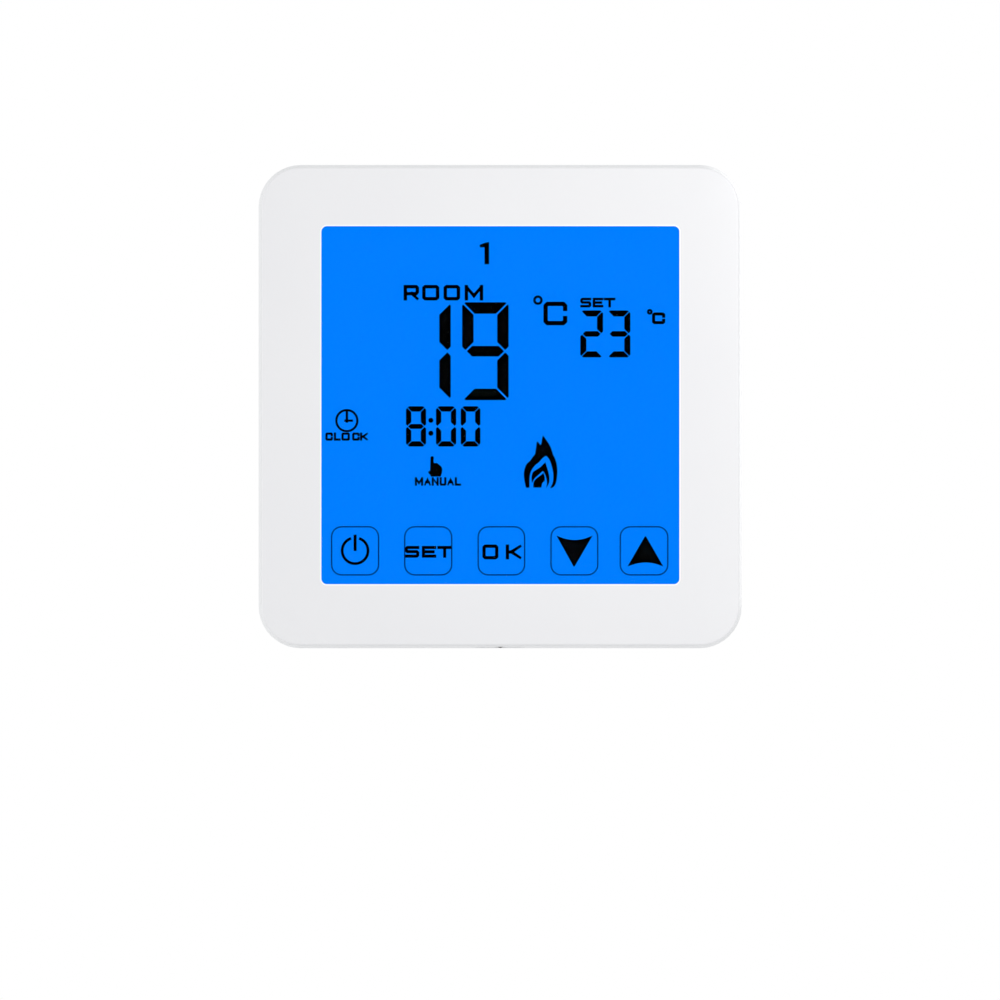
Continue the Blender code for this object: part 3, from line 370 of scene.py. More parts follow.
# A choke winding stands above the varistor.
CHOKE_ABOVE = 4.6
CHOKE_RADIUS = 2.2
CHOKE_ENDS = (13.0, 20.2)
CHOKE_TURNS = 12
CHOKE_WIRE = 0.28
varistor_low, varistor_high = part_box("varistor")
choke_place = ((varistor_low.x + varistor_high.x) / 2, varistor_high.z + CHOKE_ABOVE * MM)
choke_turns = coil_turns(choke_place, CHOKE_RADIUS * MM, CHOKE_ENDS[0] * MM, CHOKE_ENDS[1] * MM, CHOKE_TURNS,
                         CHOKE_WIRE * MM)
choke = skin("choke_winding", [choke_turns], copper)
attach(choke, "base")


# ---- terminals ----------------------------------------------------------------------------
# The terminal strip along the rear: an olive grey moulding with nine bays, a zinc plated clamp and a
# screw in each. A wire goes under the clamp, and the screw draws it down.
strip_plastic = grained("terminal_plastic", (150, 152, 142), (142, 144, 134), 0.48, patch=6.0)
zinc = grained("zinc_plate", (198, 198, 194), (178, 178, 172), 0.3, patch=1.2, grain=0.12, spread=0.2,
               Metallic=1.0)
strip = softened("terminal_block", 0.1, strip_plastic)
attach(strip, "base")
for number in range(1, 10):
    clamp = softened(f"terminal_clamp_{number}", 0.08, zinc)
    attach(clamp, f"clamp_{number}")
    screw = softened(f"terminal_screw_{number}", 0.07, zinc, one_face=False)
    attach(screw, f"screw_{number}")


# ---- mounting plate -----------------------------------------------------------------------
# Pressed sheet steel with a black dip coat. Its rim stands it off the wall, the box is screwed to it from
# the front, and two screws through its slots hold it to the wall.
black_coat = grained("black_coat", (30, 30, 32), (40, 40, 42), 0.5, patch=5.0, grain=0.3, relief=0.012,
                     Coat_Weight=0.15)
plate = softened("mounting_plate", 0.12, black_coat)
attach(plate, "base")
for number in range(1, 5):
    screw = softened(f"plate_screw_{number}", 0.08, zinc, one_face=False)
    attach(screw, "base")


# ---- back frame ---------------------------------------------------------------------------
# White ABS frame that stays on the wall, with two pry slots in its seam and eight spring tabs that
# hook it over the plate.
white_plastic = grained("white_plastic", (238, 239, 240), (234, 235, 236), 0.36, patch=22.0, grain=0.22,
                        relief=0.003)
back_frame = softened("mid_frame", 0.14, white_plastic)
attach(back_frame, "base")


# ---- front frame --------------------------------------------------------------------------
# White ABS frame of the front unit: it carries the display, and a slot opens in its lower side. The air
# sensor is a bead of black resin on two leads in that slot.
front_shell = softened("front_frame", 0.14, white_plastic)
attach(front_shell, "front_unit")
bead_resin = grained("bead_resin", (18, 18, 19), (26, 26, 27), 0.14, patch=1.0, grain=0.15, Coat_Weight=0.6)
bead = softened("air_sensor", 0.05, bead_resin)
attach(bead, "front_unit")


# ---- display board ------------------------------------------------------------------------
# The board behind the display, screwed to the front frame: controller, clock crystal, cell, buzzer and the
# socket that plugs over the power board's pins. Small resistors and capacitors stand in rows.
display_mask = solder_mask("display_mask", (20, 98, 54), (30, 124, 68), 1.6)
cover("display_board", display_mask)
steel_can = grained("steel_can", (200, 200, 197), (184, 184, 181), 0.22, patch=2.0, grain=0.3, Metallic=1.0,
                    stretch=(1.0, 1.0, 8.0))
for node, look, place, radius in (("microcontroller", chip_black, "black_plastic", 0.12),
                                  ("clock_crystal", steel_can, "bright_steel", 0.1),
                                  ("backup_battery", steel_can, "bright_steel", 0.15),
                                  ("buzzer", header_black, "black_plastic", 0.25),
                                  ("board_socket", header_black, "black_plastic", 0.08)):
    part = softened(node, radius, look)
    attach(part, "front_unit")
for number in range(1, 5):
    screw = softened(f"display_board_screw_{number}", 0.08, zinc, one_face=False)
    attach(screw, "front_unit")

# The controller's leads: a row on each of its four sides.
CHIP_LEADS = 12
LEAD_SPAN = 4.4
LEAD_OUT = 0.5
LEAD_LIFT = 0.22
LEAD_HALF = (0.62, 0.2, 0.16)
board_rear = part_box("display_board")[1].y
chip_low, chip_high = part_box("microcontroller")
chip_x, chip_z = (chip_low.x + chip_high.x) / 2, (chip_low.z + chip_high.z) / 2
lead_step = np.linspace(-LEAD_SPAN, LEAD_SPAN, CHIP_LEADS) * MM
lead_out = np.full(CHIP_LEADS, (chip_high.x - chip_low.x) / 2 + LEAD_OUT * MM)
lead_y = np.full(CHIP_LEADS, board_rear + LEAD_LIFT * MM)
lead_places, lead_halves = [], []
for sign in (-1, 1):
    for out_x, out_z, half in ((lead_out, lead_step, LEAD_HALF), (lead_step, lead_out, LEAD_HALF[::-1])):
        lead_places.append(np.stack([chip_x + sign * out_x, lead_y, chip_z + sign * out_z], axis=-1))
        lead_halves.append(np.tile(np.array(half) * MM, (CHIP_LEADS, 1)))
lead_bodies = pillows(np.concatenate(lead_places), np.concatenate(lead_halves), 0.3, 7, 12)
leads = skin("controller_leads", lead_bodies, tin)
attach(leads, "front_unit")

# Rows of small parts: first x, last x, how many, and z. Each has a tinned cap at both ends.
SMALL_ROWS = ((-30, -22, 5, -4), (-30, -22, 5, -9), (20, 32, 7, 16), (20, 32, 7, -8), (-18, -4, 8, -18),
              (-2, 24, 10, -24))
SMALL_HALF = (0.42, 0.3, 0.62)
CAP_HALF = (0.46, 0.29, 0.3)
CAP_OUT = 0.85
small_y = board_rear / MM + SMALL_HALF[1]
small_middles = np.concatenate([
    np.stack([np.linspace(start, end, count), np.full(count, small_y), np.full(count, z)], axis=-1)
    for start, end, count, z in SMALL_ROWS]) * MM
is_capacitor = (np.arange(len(small_middles)) * 5) % 3 == 0
for name, chosen, look in (("small_resistors", ~is_capacitor, chip_black),
                           ("small_capacitors", is_capacitor, resistor_cream)):
    halves = np.tile(np.array(SMALL_HALF) * MM, (chosen.sum(), 1))
    part = skin(name, pillows(small_middles[chosen], halves, 0.15, 7, 16), look)
    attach(part, "front_unit")
cap_middles = np.concatenate([small_middles + [0, -0.03 * MM, side * CAP_OUT * MM] for side in (-1, 1)])
cap_halves = np.tile(np.array(CAP_HALF) * MM, (len(cap_middles), 1))
part_ends = skin("small_part_ends", pillows(cap_middles, cap_halves, 0.25, 7, 12), tin)
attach(part_ends, "front_unit")


# ---- backlight ----------------------------------------------------------------------------
# A white tray holds a bright film, an acrylic light guide lit from its right edge by a bar of lamps, and a
# frosted film that spreads the light. Elastomer strips join the glass to the board.
tray_white = grained("tray_plastic", (226, 226, 226), (220, 220, 220), 0.5)
film_white = grained("bright_film", (240, 240, 240), (232, 232, 232), 0.2)
frosted = grained("frosted_film", (232, 236, 240), (226, 230, 234), 0.6)
guide_clear = grained("guide_acrylic", (226, 236, 244), (218, 230, 240), 0.08, spread=0.02,
                      Transmission_Weight=0.8, IOR=1.3)
lamp_cream = grained("lamp_bar", (222, 214, 170), (234, 228, 190), 0.4, patch=1.5)
for node, look in (("backlight_tray", tray_white), ("reflector", film_white), ("light_guide", guide_clear),
                   ("backlight_led_bar", lamp_cream), ("diffuser", frosted)):
    cover(node, look)
elastomer = grained("elastomer", (96, 97, 99), (58, 58, 60), 0.6, patch=0.4, stretch=(1.0, 0.05, 0.05))
cover("connector_strip_top", elastomer)
cover("connector_strip_bottom", elastomer)


# ---- display glasses ----------------------------------------------------------------------
# Two sheets of thin glass with the liquid crystal between them. The rear one carries the blue filter, lit
# from behind; the front one is clear.
def lit_glass(name, colour, shade):
    """The blue filter as it shows when lit: the grain's colour leaves the shader as light."""
    material = grained(name, (4, 10, 20), (4, 12, 24), 0.3, Specular_IOR_Level=0.0)
    nodes, links = material.node_tree.nodes, material.node_tree.links
    glow = nodes.new("ShaderNodeGroup")
    glow.node_tree = mould_grain
    place = next(node for node in nodes if node.type == "TEX_COORD")
    links.new(place.outputs["Object"], glow.inputs["Place"])
    glow.inputs["Colour"].default_value = screen_colour(*colour)
    glow.inputs["Shade"].default_value = screen_colour(*shade)
    glow.inputs["Patches"].default_value = 1 / (25 * MM)
    glow.inputs["Grains"].default_value = 1 / (0.2 * MM)
    links.new(glow.outputs["Colour"], nodes["Principled BSDF"].inputs["Emission Color"])
    nodes["Principled BSDF"].inputs["Emission Strength"].default_value = 1.0
    return material


blue_filter = lit_glass("blue_filter", (0, 126, 255), (0, 125, 255))
cover("lcd_rear_glass", blue_filter)
clear_glass = grained("clear_glass", (255, 255, 255), (254, 255, 255), 0.0, spread=0.0, relief=0.0,
                      Transmission_Weight=1.0, IOR=1.02)
cover("lcd_front_glass", clear_glass)


# ---- segments -----------------------------------------------------------------------------
# The black characters are etched electrode areas in the liquid crystal: flat shapes in one layer between
# the two glasses. Their places are millimetres from the middle of the lit area, x to the right, z up.
rear_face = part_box("lcd_rear_glass")[0].y
front_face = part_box("lcd_front_glass")[1].y
ink_rear = rear_face - 0.25 * (rear_face - front_face)
ink_front = rear_face - 0.75 * (rear_face - front_face)
lcd_black = grained("lcd_black", (0, 0, 1), (1, 1, 2), 0.6, patch=3.0, Specular_IOR_Level=0.0)
LIT_MIDDLE = (0.03, 0.22)       # from the middle of the face


def at_depths(path, depths):
    """Points (x, z) from the lit area's middle, as one loop in metres for each depth y."""
    path = (np.asarray(path, float) + LIT_MIDDLE) * MM
    return np.stack([np.insert(path, 1, y, axis=-1) for y in depths])


def flat_shape(outline):
    """A closed outline as a thin body: the outline at the front and at the rear."""
    return at_depths(outline, (ink_front, ink_rear))


def stroke(points, width, low=-100.0, high=100.0, longer=0.0):
    """A line of a given width along points, as a body: a rectangle carried along them. Each point moves sideways
    by half the width along the mean of its two neighbours' normals, divided by the cosine of half the turn, so
    that corners are mitred. Both ends are drawn out by longer. The line is cut off below low and above high,
    one value or (x, z)."""
    points = np.array(points, float)
    along = np.diff(points, axis=0)
    along /= np.linalg.norm(along, axis=1)[:, None]
    points[0] -= longer * along[0]
    points[-1] += longer * along[-1]
    normal = np.stack([-along[:, 1], along[:, 0]], axis=-1)
    before, after = np.vstack([normal[:1], normal]), np.vstack([normal, normal[-1:]])
    middle = before + after
    middle /= np.einsum("ij,ij->i", middle, before)[:, None]
    sides = [np.clip(points + sign * middle * width / 2, low, high) for sign in (-1, 1)]
    corners = [at_depths(side, (ink_front, ink_rear)) for side in sides]
    return np.stack([corners[0][0], corners[0][1], corners[1][1], corners[1][0]], axis=1)


def rounded_box(left, right, low, high, corner, steps=6):
    """A rectangle with quarter circles at its corners, as a closed row of points that starts at the right."""
    turn = (np.arange(4)[:, None] + np.linspace(0, 1, steps + 1)[None, :]) * math.pi / 2
    side_x = np.array([1, -1, -1, 1])[:, None]
    side_z = np.array([1, 1, -1, -1])[:, None]
    x = (left + right) / 2 + side_x * ((right - left) / 2 - corner) + corner * np.cos(turn)
    z = (low + high) / 2 + side_z * ((high - low) / 2 - corner) + corner * np.sin(turn)
    return np.stack([x, z], axis=-1).reshape(-1, 2)


def outline_ring(left, right, low, high, corner, width, steps=6):
    """A rounded rectangle drawn as a line: two rounded rectangles half the width inside and outside the given
    one, front and rear, joined into a ring."""
    half = width / 2
    outer = rounded_box(left - half, right + half, low - half, high + half, corner + half, steps)
    inner = rounded_box(left + half, right - half, low + half, high - half, max(corner - half, 0.02), steps)
    return np.concatenate([at_depths(outer, (ink_front, ink_rear)), at_depths(inner, (ink_rear, ink_front))])


# Strokes of each letter in a unit square; CURVE cuts a letter's outer corners.
CURVE = 0.1
LETTERS = {
    "A": [[(0, 0), (0.5, 1), (1, 0)], [(0.2, 0.36), (0.8, 0.36)]],
    "C": [[(1, 0.74), (1, 1 - CURVE), (1 - CURVE, 1), (CURVE, 1), (0, 1 - CURVE), (0, CURVE), (CURVE, 0),
           (1 - CURVE, 0), (1, CURVE), (1, 0.26)]],
    "E": [[(1, 1), (0, 1), (0, 0), (1, 0)], [(0, 0.5), (0.86, 0.5)]],
    "K": [[(0, 0), (0, 1)], [(1, 1), (0.3, 0.5), (1, 0)], [(0, 0.5), (0.34, 0.5)]],
    "L": [[(0, 1), (0, 0), (1, 0)]],
    "M": [[(0, 0), (0, 1)], [(0, 0.96), (0.5, 0.24), (1, 0.96)], [(1, 1), (1, 0)]],
    "N": [[(0, 0), (0, 1)], [(0, 1), (1, 0)], [(1, 0), (1, 1)]],
    "O": [[(0.5, 1), (CURVE, 1), (0, 1 - CURVE), (0, CURVE), (CURVE, 0), (1 - CURVE, 0), (1, CURVE),
           (1, 1 - CURVE), (1 - CURVE, 1), (0.49, 1)]],
    "R": [[(0, 0), (0, 1), (1 - CURVE, 1), (1, 1 - CURVE), (1, 0.56), (1 - CURVE, 0.42), (0, 0.42)],
          [(0.55, 0.42), (1, 0)]],
    "S": [[(1, 1), (CURVE, 1), (0, 0.88), (0, 0.64), (CURVE, 0.52), (1 - CURVE, 0.52), (1, 0.4), (1, 0.12),
           (1 - CURVE, 0), (0, 0)]],
    "T": [[(0, 1), (1, 1)], [(0.5, 1), (0.5, 0)]],
    "U": [[(0, 1), (0, CURVE), (CURVE, 0), (1 - CURVE, 0), (1, CURVE), (1, 1)]],
}


def word(letters, spans, low, high, width):
    """Letters as strokes, each between its own left and right edge, with the line's width kept inside them."""
    shapes = []
    for letter, (left, right) in zip(letters, spans):
        corner = np.array([left + width / 2, low + width / 2])
        size = np.array([right - left - width, high - low - width])
        shapes += [stroke(np.array(line) * size + corner, width, (left, low), (right, high), width / 2)
                   for line in LETTERS[letter]]
    return shapes


# The bars that each figure lights: a is the top one, b to f follow clockwise, and g is the middle one.
SEGMENTS = {"0": "abcdef", "1": "bc", "2": "abged", "3": "abgcd", "8": "abcdefg", "9": "abcdfg"}


def digit(figure, left, right, low, high, thick, cut, gap):
    """A seven-segment figure. Its outer corners are cut at 45 degrees, and a gap runs inwards from the middle of
    each cut, between a level and an upright bar. The upright bars meet the middle bar in a blunt point. The
    lower half mirrors the upper one, and the left side the right one."""
    middle, t, c, e = (low + high) / 2, thick, cut / 2, gap / 2.83
    point, shoulder, slope = 0.4 * t, 0.86 * t, 0.46 * t
    bars = {
        "a": [(left + cut, high), (right - cut, high), (right - c - e, high - c + e),
              (right - t - 2 * e, high - t), (left + t + 2 * e, high - t), (left + c + e, high - c + e)],
        "b": [(right, high - cut), (right, middle + 0.4 * t), (right - 0.3 * t, middle + 0.1 * t),
              (right - t, middle + 0.8 * t), (right - t, high - t - 2 * e), (right - c + e, high - c - e)],
        "g": [(left + point, middle), (left + shoulder, middle + slope), (right - shoulder, middle + slope),
              (right - point, middle), (right - shoulder, middle - slope), (left + shoulder, middle - slope)],
    }
    bars["f"] = [(left + right - x, z) for x, z in bars["b"]]
    for upper, lower in (("a", "d"), ("b", "c"), ("f", "e")):
        bars[lower] = [(x, low + high - z) for x, z in bars[upper]]
    return [flat_shape(bars[bar]) for bar in SEGMENTS[figure]]


def disc(x, z, radius, steps=24):
    """A circle of points."""
    turn = np.linspace(0, 2 * math.pi, steps, endpoint=False)
    return np.stack([x + radius * np.cos(turn), z + radius * np.sin(turn)], axis=-1)


def arc(x, z, radius, start, end, steps=40):
    """Points along part of a circle, between two angles in degrees."""
    turn = np.radians(np.linspace(start, end, steps))
    return np.stack([x + radius * np.cos(turn), z + radius * np.sin(turn)], axis=-1)


def shown(name, shapes, rings=()):
    """Puts flat shapes and rings into the display as pieces of the front unit."""
    made = []
    if len(shapes):
        made.append(skin(name, shapes, lcd_black))
    if len(rings):
        made.append(skin(f"{name}_rings", rings, lcd_black, ring=True))
    for piece in made:
        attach(piece, "front_unit")


day = [(-3.7, 28.5), (-2.6, 28.92), (-2.0, 29.0), (-2.0, 25.05), (-2.82, 25.05), (-2.82, 28.05), (-3.6, 28.05)]
shown("day_number", [flat_shape(day)])
room = word("ROOM", ((-17.2, -14.45), (-13.9, -10.85), (-10.1, -7.15), (-6.35, -3.05)), 18.62, 21.38, 0.62)
shown("room_label", room)
# Each size of figure: its foot and head, the bars' thickness, the cut of the corners and the gap.
ROOM_FIGURE = (0.9, 18.3, 2.04, 0.6, 0.26)
SET_FIGURE = (8.5, 16.85, 1.08, 0.5, 0.12)
TIME_FIGURE = (-7.35, -0.18, 0.95, 0.55, 0.1)
shown("room_temperature", digit("1", -17.0, -8.82, *ROOM_FIGURE) + digit("9", -6.8, 1.47, *ROOM_FIGURE))
shown("room_unit", word("C", ((7.65, 11.9),), 14.2, 18.4, 0.78),
      [outline_ring(6.05, 7.3, 18.05, 19.3, 0.62, 0.44)])
shown("set_label", word("SET", ((14.2, 16.15), (16.4, 18.3), (18.4, 20.45)), 17.38, 19.1, 0.46))
shown("set_temperature", digit("2", 14.2, 18.25, *SET_FIGURE) + digit("3", 18.98, 23.1, *SET_FIGURE))
shown("set_unit", word("C", ((26.95, 29.3),), 14.4, 16.5, 0.56),
      [outline_ring(26.25, 26.85, 16.3, 16.9, 0.29, 0.42)])
clock_face = [outline_ring(-29.15, -25.42, -4.6, -0.87, 1.85, 0.4, 12)]
hands = [stroke([(-27.28, -0.95), (-27.28, -3.1)], 0.44), stroke([(-27.75, -2.74), (-26.2, -2.74)], 0.4)]
shown("clock_picture", hands, clock_face)
clock_spans = ((-31.1, -29.75), (-29.6, -28.4), (-28.25, -26.75), (-26.35, -25.0), (-24.95, -23.5))
shown("clock_label", word("CLOCK", clock_spans, -6.3, -4.85, 0.4))
time_shapes = (digit("8", -16.78, -13.2, *TIME_FIGURE) + digit("0", -11.45, -7.85, *TIME_FIGURE)
               + digit("0", -7.05, -3.55, *TIME_FIGURE))
time_shapes += [flat_shape(disc(-12.35, z, 0.45)) for z in (-2.68, -4.98)]
shown("time_of_day", time_shapes)


def flow(points, steps=6):
    """A smooth curve through points, as Catmull and Rom's cubic: the slope at each point is half the line between
    its neighbours. The ends' neighbours are the ends themselves."""
    points = np.asarray(points, float)
    held = np.vstack([points[:1], points, points[-1:]])
    p0, p1, p2, p3 = held[:-3, None], held[1:-2, None], held[2:-1, None], held[3:, None]
    t = np.linspace(0, 1, steps, endpoint=False)[None, :, None]
    curve = 0.5 * (2 * p1 + (p2 - p0) * t + (2 * p0 - 5 * p1 + 4 * p2 - p3) * t**2
                   + (3 * p1 - p0 - 3 * p2 + p3) * t**3)
    return np.vstack([curve.reshape(-1, 2), points[-1:]])


hand = np.vstack([
    flow([(-12.42, -11.4), (-12.38, -10.2), (-12.34, -9.1)]), arc(-12.06, -9.08, 0.3, 170, 10, 9),
    flow([(-11.76, -9.1), (-11.8, -9.6), (-11.7, -10.02), (-11.27, -9.98), (-10.8, -10.3), (-10.36, -10.75),
          (-10.28, -11.5), (-10.5, -12.3)]),
    [(-10.6, -12.42), (-12.25, -12.42)],
    flow([(-12.4, -12.1), (-12.75, -11.7), (-12.66, -11.45), (-12.42, -11.4)])[:-1]])
HAND_SHIFT = (-0.07, -0.27)
shown("hand_picture", [flat_shape(hand + HAND_SHIFT)])
manual_spans = ((-15.2, -13.72), (-13.6, -12.3), (-12.2, -10.95), (-10.8, -9.6), (-9.5, -8.2), (-8.1, -7.0))
shown("manual_label", word("MANUAL", manual_spans, -14.3, -12.8, 0.38))
flame_outer = np.vstack([
    flow([(4.55, -14.4), (4.25, -13.0), (4.2, -11.6), (4.6, -10.3), (5.3, -9.6), (5.75, -8.9), (6.15, -8.4),
          (6.33, -7.3), (6.45, -6.35)]),
    flow([(6.6, -6.2), (6.85, -6.45), (7.1, -6.85)]), flow([(7.3, -6.45), (7.42, -5.65), (7.58, -5.15)]),
    flow([(7.62, -5.15), (8.0, -5.7), (8.65, -6.65), (9.1, -7.6), (9.4, -8.75)]),
    flow([(9.5, -8.72), (9.95, -9.9), (10.13, -11.5), (9.95, -13.2), (9.6, -14.1), (9.05, -14.5)]),
    flow([(8.87, -14.4), (9.3, -13.5), (9.4, -12.0), (9.1, -10.5), (8.7, -9.4), (8.12, -8.75)]),
    flow([(8.05, -8.75), (7.4, -9.25), (6.85, -9.9), (6.2, -10.4), (5.5, -11.4), (5.2, -12.6), (5.17, -14.4)])])
flame_middle = np.vstack([
    flow([(5.6, -13.45), (5.54, -12.6), (5.75, -11.7), (6.4, -11.2), (7.1, -10.75), (7.9, -9.95)]),
    flow([(8.0, -9.9), (8.2, -10.5), (8.5, -11.5), (8.7, -12.5), (8.65, -13.5), (8.2, -14.4)]),
    flow([(8.15, -14.35), (8.28, -13.4), (8.0, -12.2), (7.6, -11.5)]),
    flow([(7.55, -11.45), (6.7, -12.2), (6.05, -12.8), (5.72, -13.5)])])
flame_core = np.vstack([
    flow([(5.85, -14.38), (5.9, -13.5), (6.2, -12.95), (6.75, -12.5), (7.3, -12.1), (7.6, -11.8)]),
    flow([(7.66, -11.8), (7.88, -12.5), (7.85, -13.2), (7.45, -13.6), (7.3, -14.38)])])
FLAME_SHIFT = (0.0, -0.25)
shown("flame_picture", [flat_shape(shape + FLAME_SHIFT) for shape in (flame_outer, flame_middle, flame_core)])


# ---- touch keys ---------------------------------------------------------------------------
# Five keys along the foot of the lit area: thin dark blue outlines with black signs, in the same plane as
# the characters.
line_blue = grained("line_blue", (0, 66, 150), (0, 70, 158), 0.6, patch=3.0, Specular_IOR_Level=0.0)
KEY_LOW, KEY_HIGH, KEY_CORNER, KEY_LINE = -30.15, -21.6, 1.8, 0.24
KEY_SPANS = ((-30.0, -21.65), (-17.0, -8.65), (-3.95, 4.3), (9.0, 17.3), (21.3, 29.75))
key_rings = [outline_ring(left, right, KEY_LOW, KEY_HIGH, KEY_CORNER, KEY_LINE, 8) for left, right in KEY_SPANS]
keys = skin("key_outlines", key_rings, line_blue, ring=True)
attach(keys, "front_unit")
power_sign = [stroke(arc(-25.82, -25.85, 2.3, 108, 432), 0.5), stroke([(-25.82, -23.0), (-25.82, -25.9)], 0.54)]
shown("power_key_sign", power_sign)
shown("set_key_sign", word("SET", ((-17.0, -14.4), (-13.95, -11.4), (-11.2, -8.6)), -27.1, -25.0, 0.56))
shown("ok_key_sign", word("OK", ((-3.2, -0.35), (0.95, 3.8)), -27.4, -24.75, 0.6))
down = np.vstack([flow([(9.95, -23.15), (11.5, -23.72), (13.2, -23.95), (14.9, -23.72), (16.4, -23.15)]),
                  [(13.2, -28.65), (13.0, -28.65)]])
shown("down_key_sign", [flat_shape(down)])
up = np.vstack([flow([(22.6, -28.65), (24.2, -28.15), (25.8, -27.95), (27.4, -28.15), (28.95, -28.65)]),
                [(25.88, -23.3), (25.68, -23.3)]])
shown("up_key_sign", [flat_shape(up)])


# ---- touch layer --------------------------------------------------------------------------
# A clear film with its electrodes, and a frame of black foam tape round it that glues the panel down.
clear_film = grained("clear_film", (255, 255, 255), (254, 255, 255), 0.0, spread=0.0, relief=0.0,
                     Transmission_Weight=1.0, IOR=1.02)
cover("touch_sensor", clear_film)
foam = grained("foam_tape", (24, 24, 25), (34, 34, 35), 0.8, patch=1.0, relief=0.02)
cover("panel_tape", foam)


# ---- panel --------------------------------------------------------------------------------
# A clear sheet printed white all round the lit area, with polished edges that are rounded more at the
# front than at the rear. A thin pure white line of painted highlight runs round the lit area where the print
# ends.
panel_low, panel_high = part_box("front_panel")
PANEL_HALF = panel_high.x / MM
PANEL_FRONT, PANEL_REAR = panel_low.y / MM, panel_high.y / MM
PANEL_CORNER = 6.9
WINDOW_HALF, WINDOW_CORNER = 31.8, 1.0
# Width of the line of painted highlight round the lit area.
HIGHLIGHT_LINE = 0.22                       # the bright line's width
FRONT_EDGE, REAR_EDGE = 0.38, 0.18      # the rounded edges' radii


def square_loops(profile, steps=16):
    """Rounded squares, one for each row (half, corner radius, y) of the profile, in millimetres. Those nearer to
    the lit area's edge than to the panel's have the lit area's middle."""
    loops = []
    for half, corner, y in profile:
        middle = LIT_MIDDLE if half < (WINDOW_HALF + PANEL_HALF) / 2 else (0.0, 0.0)
        loops.append(np.insert(rounded_box(-half, half, -half, half, corner, steps) + middle, 1, y, axis=1) * MM)
    return np.stack(loops)


# The profile runs from the lit area's edge out over the front, round both edges, and back at the rear.
quarter = np.radians(np.linspace(0, 90, 7))
profile = [(WINDOW_HALF, WINDOW_CORNER, PANEL_FRONT),
           (WINDOW_HALF + HIGHLIGHT_LINE, WINDOW_CORNER + HIGHLIGHT_LINE, PANEL_FRONT)]
profile += [(PANEL_HALF - FRONT_EDGE * (1 - math.sin(a)), PANEL_CORNER - FRONT_EDGE * (1 - math.sin(a)),
             PANEL_FRONT + FRONT_EDGE * (1 - math.cos(a))) for a in quarter]
profile += [(PANEL_HALF - REAR_EDGE * (1 - math.cos(a)), PANEL_CORNER - REAR_EDGE * (1 - math.cos(a)),
             PANEL_REAR - REAR_EDGE * (1 - math.sin(a))) for a in quarter]
profile += [(WINDOW_HALF, WINDOW_CORNER, PANEL_REAR)]
panel_print = grained("panel_print", (235, 235, 236), (231, 231, 233), 0.3, patch=26.0, grain=0.35, spread=0.06,
                      relief=0.001, Coat_Weight=0.25, Coat_Roughness=0.25)
# Painted highlight: a pure white line, brighter than the white print, round the lit area's edge.
painted_highlight_line = grained("painted_highlight_line", (255, 255, 255), (252, 252, 252), 0.3, patch=5.0)
panel_window = grained("panel_window", (255, 255, 255), (254, 255, 255), 0.0, spread=0.0, relief=0.0,
                       Transmission_Weight=1.0, IOR=1.04)
panel = skin("front_panel_sheet", [square_loops(profile)], panel_print, smooth=50.0)
panel.data.materials.append(painted_highlight_line)
panel.data.materials.append(panel_window)
# The first round of faces is the line of painted highlight, and the last two faces are the clear ones over the
# lit area.
kinds = np.zeros(len(panel.data.polygons), dtype=np.int32)
highlight_faces = len(square_loops(profile[:1])[0])
kinds[:highlight_faces] = 1
kinds[-2:] = 2
panel.data.polygons.foreach_set("material_index", kinds)
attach(panel, "front_unit")
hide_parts("front_panel")


# ---- studio -------------------------------------------------------------------------------
# A pale round floor under the object, a white background, and three soft lights: one in front at the upper
# right, a weak one at the left, and one behind. The camera stands square to the front with a long lens.
FLOOR_Z, FLOOR_RADIUS, FLOOR_SIDES = -130.0, 600.0, 96
floor_paint = grained("floor_paint", (246, 246, 246), (243, 243, 243), 0.7, patch=200.0, grain=4.0)
floor_nodes, floor_links = floor_paint.node_tree.nodes, floor_paint.node_tree.links
side, through, either = (floor_nodes.new("ShaderNodeNewGeometry"), floor_nodes.new("ShaderNodeBsdfTransparent"),
                         floor_nodes.new("ShaderNodeMixShader"))
floor_links.new(side.outputs["Backfacing"], either.inputs["Fac"])
floor_links.new(floor_nodes["Principled BSDF"].outputs["BSDF"], either.inputs[1])
floor_links.new(through.outputs["BSDF"], either.inputs[2])
floor_links.new(either.outputs["Shader"], floor_nodes["Material Output"].inputs["Surface"])
floor_turn = np.linspace(0, 2 * math.pi, FLOOR_SIDES, endpoint=False)
floor_spots = np.stack([FLOOR_RADIUS * np.cos(floor_turn), FLOOR_RADIUS * np.sin(floor_turn),
                        np.full(FLOOR_SIDES, FLOOR_Z)], axis=-1)
floor_mesh = bpy.data.meshes.new("floor")
floor_mesh.from_pydata((floor_spots * MM).tolist(), [], [list(range(FLOOR_SIDES))])
floor_mesh.materials.append(floor_paint)
floor = bpy.data.objects.new("floor", floor_mesh)
bpy.context.collection.objects.link(floor)

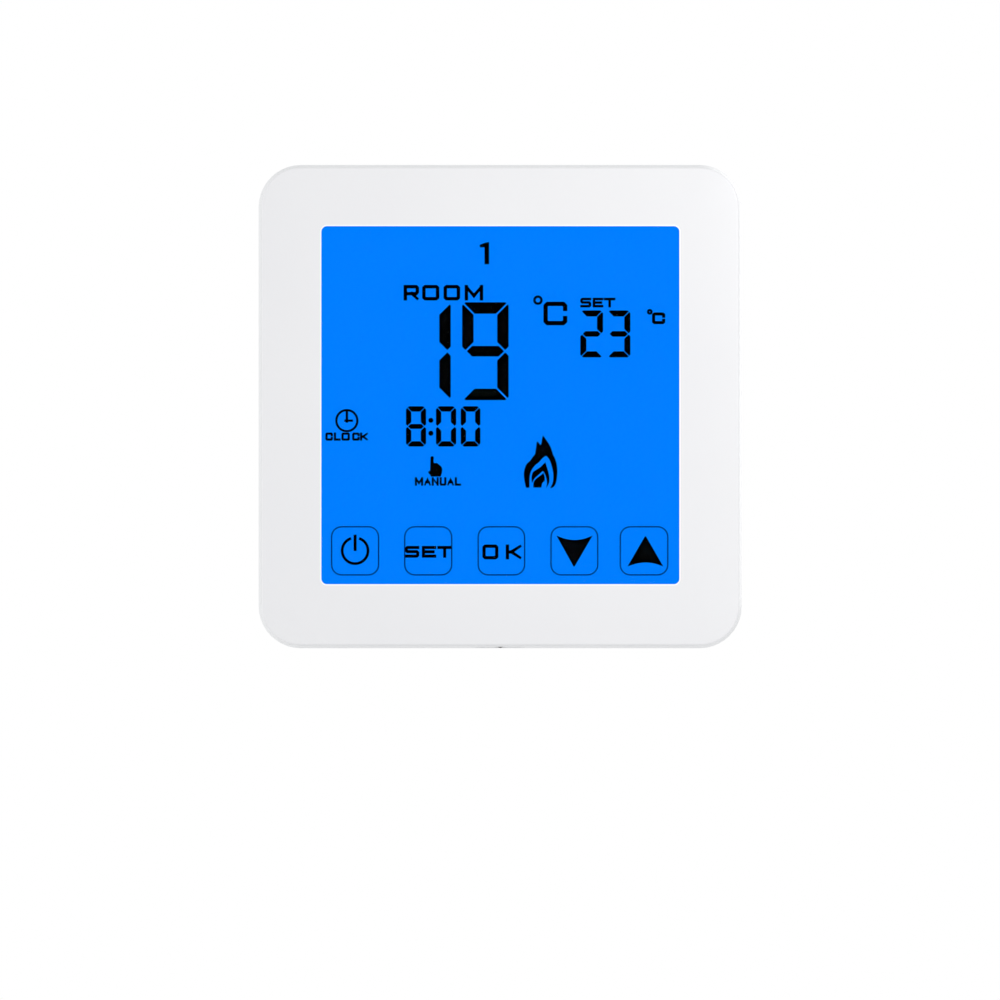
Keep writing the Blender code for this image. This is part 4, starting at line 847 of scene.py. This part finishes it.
# The camera sees plain white behind the object; the light that the background gives is a little dimmer.
scene = bpy.context.scene
scene.view_settings.view_transform = "Standard"
world = bpy.data.worlds.new("studio_white")
world.use_nodes = True
scene.world = world
world_nodes, world_links = world.node_tree.nodes, world.node_tree.links
world_nodes.clear()
seen, given_off = world_nodes.new("ShaderNodeBackground"), world_nodes.new("ShaderNodeBackground")
seen.inputs["Color"].default_value = (1, 1, 1, 1)
seen.inputs["Strength"].default_value = 1.0
given_off.inputs["Color"].default_value = (0.99, 0.993, 1, 1)
given_off.inputs["Strength"].default_value = 0.825
ray, choice, world_out = (world_nodes.new("ShaderNodeLightPath"), world_nodes.new("ShaderNodeMixShader"),
                          world_nodes.new("ShaderNodeOutputWorld"))
world_links.new(ray.outputs["Is Camera Ray"], choice.inputs["Fac"])
world_links.new(given_off.outputs["Background"], choice.inputs[1])
world_links.new(seen.outputs["Background"], choice.inputs[2])
world_links.new(choice.outputs["Shader"], world_out.inputs["Surface"])


def soft_light(name, place, size, power):
    """A square light that looks at the origin, where the object's middle meets the wall; place and size are in
    metres."""
    light = bpy.data.lights.new(name, "AREA")
    light.size = size
    light.energy = power
    lamp = bpy.data.objects.new(name, light)
    lamp.location = place
    lamp.rotation_euler = (-Vector(place)).to_track_quat("-Z", "Y").to_euler()
    lamp.visible_camera = False
    bpy.context.collection.objects.link(lamp)


soft_light("key_light", (0.14, -0.24, 0.08), 0.12, 0.205)
soft_light("side_light", (-0.7, -0.05, 0.0), 0.4, 0.9)
soft_light("back_light", (0.35, 0.75, 0.2), 0.5, 0.6)

# The body's widest outline fills WIDE_SHARE of the picture's width, and the body's middle stands RIGHT_SHARE of
# that width to the right of the picture's middle and UP_SHARE above it.
WIDEST, WIDEST_Y = 86.0, -7.65
WIDE_SHARE, RIGHT_SHARE, UP_SHARE = 0.4832, 0.0002, 0.0934
SENSOR = 36.0
DISTANCE = 3000.0
view_wide = WIDEST / WIDE_SHARE
camera_data = bpy.data.cameras.new("camera")
camera_data.sensor_width = SENSOR
camera_data.lens = SENSOR * DISTANCE / view_wide
camera_data.clip_start, camera_data.clip_end = 0.1, 20.0
camera = bpy.data.objects.new("camera", camera_data)
camera.location = (-RIGHT_SHARE * view_wide * MM, (WIDEST_Y - DISTANCE) * MM, -UP_SHARE * view_wide * MM)
camera.rotation_euler = (math.radians(90), 0.0, 0.0)
bpy.context.collection.objects.link(camera)
scene.camera = camera
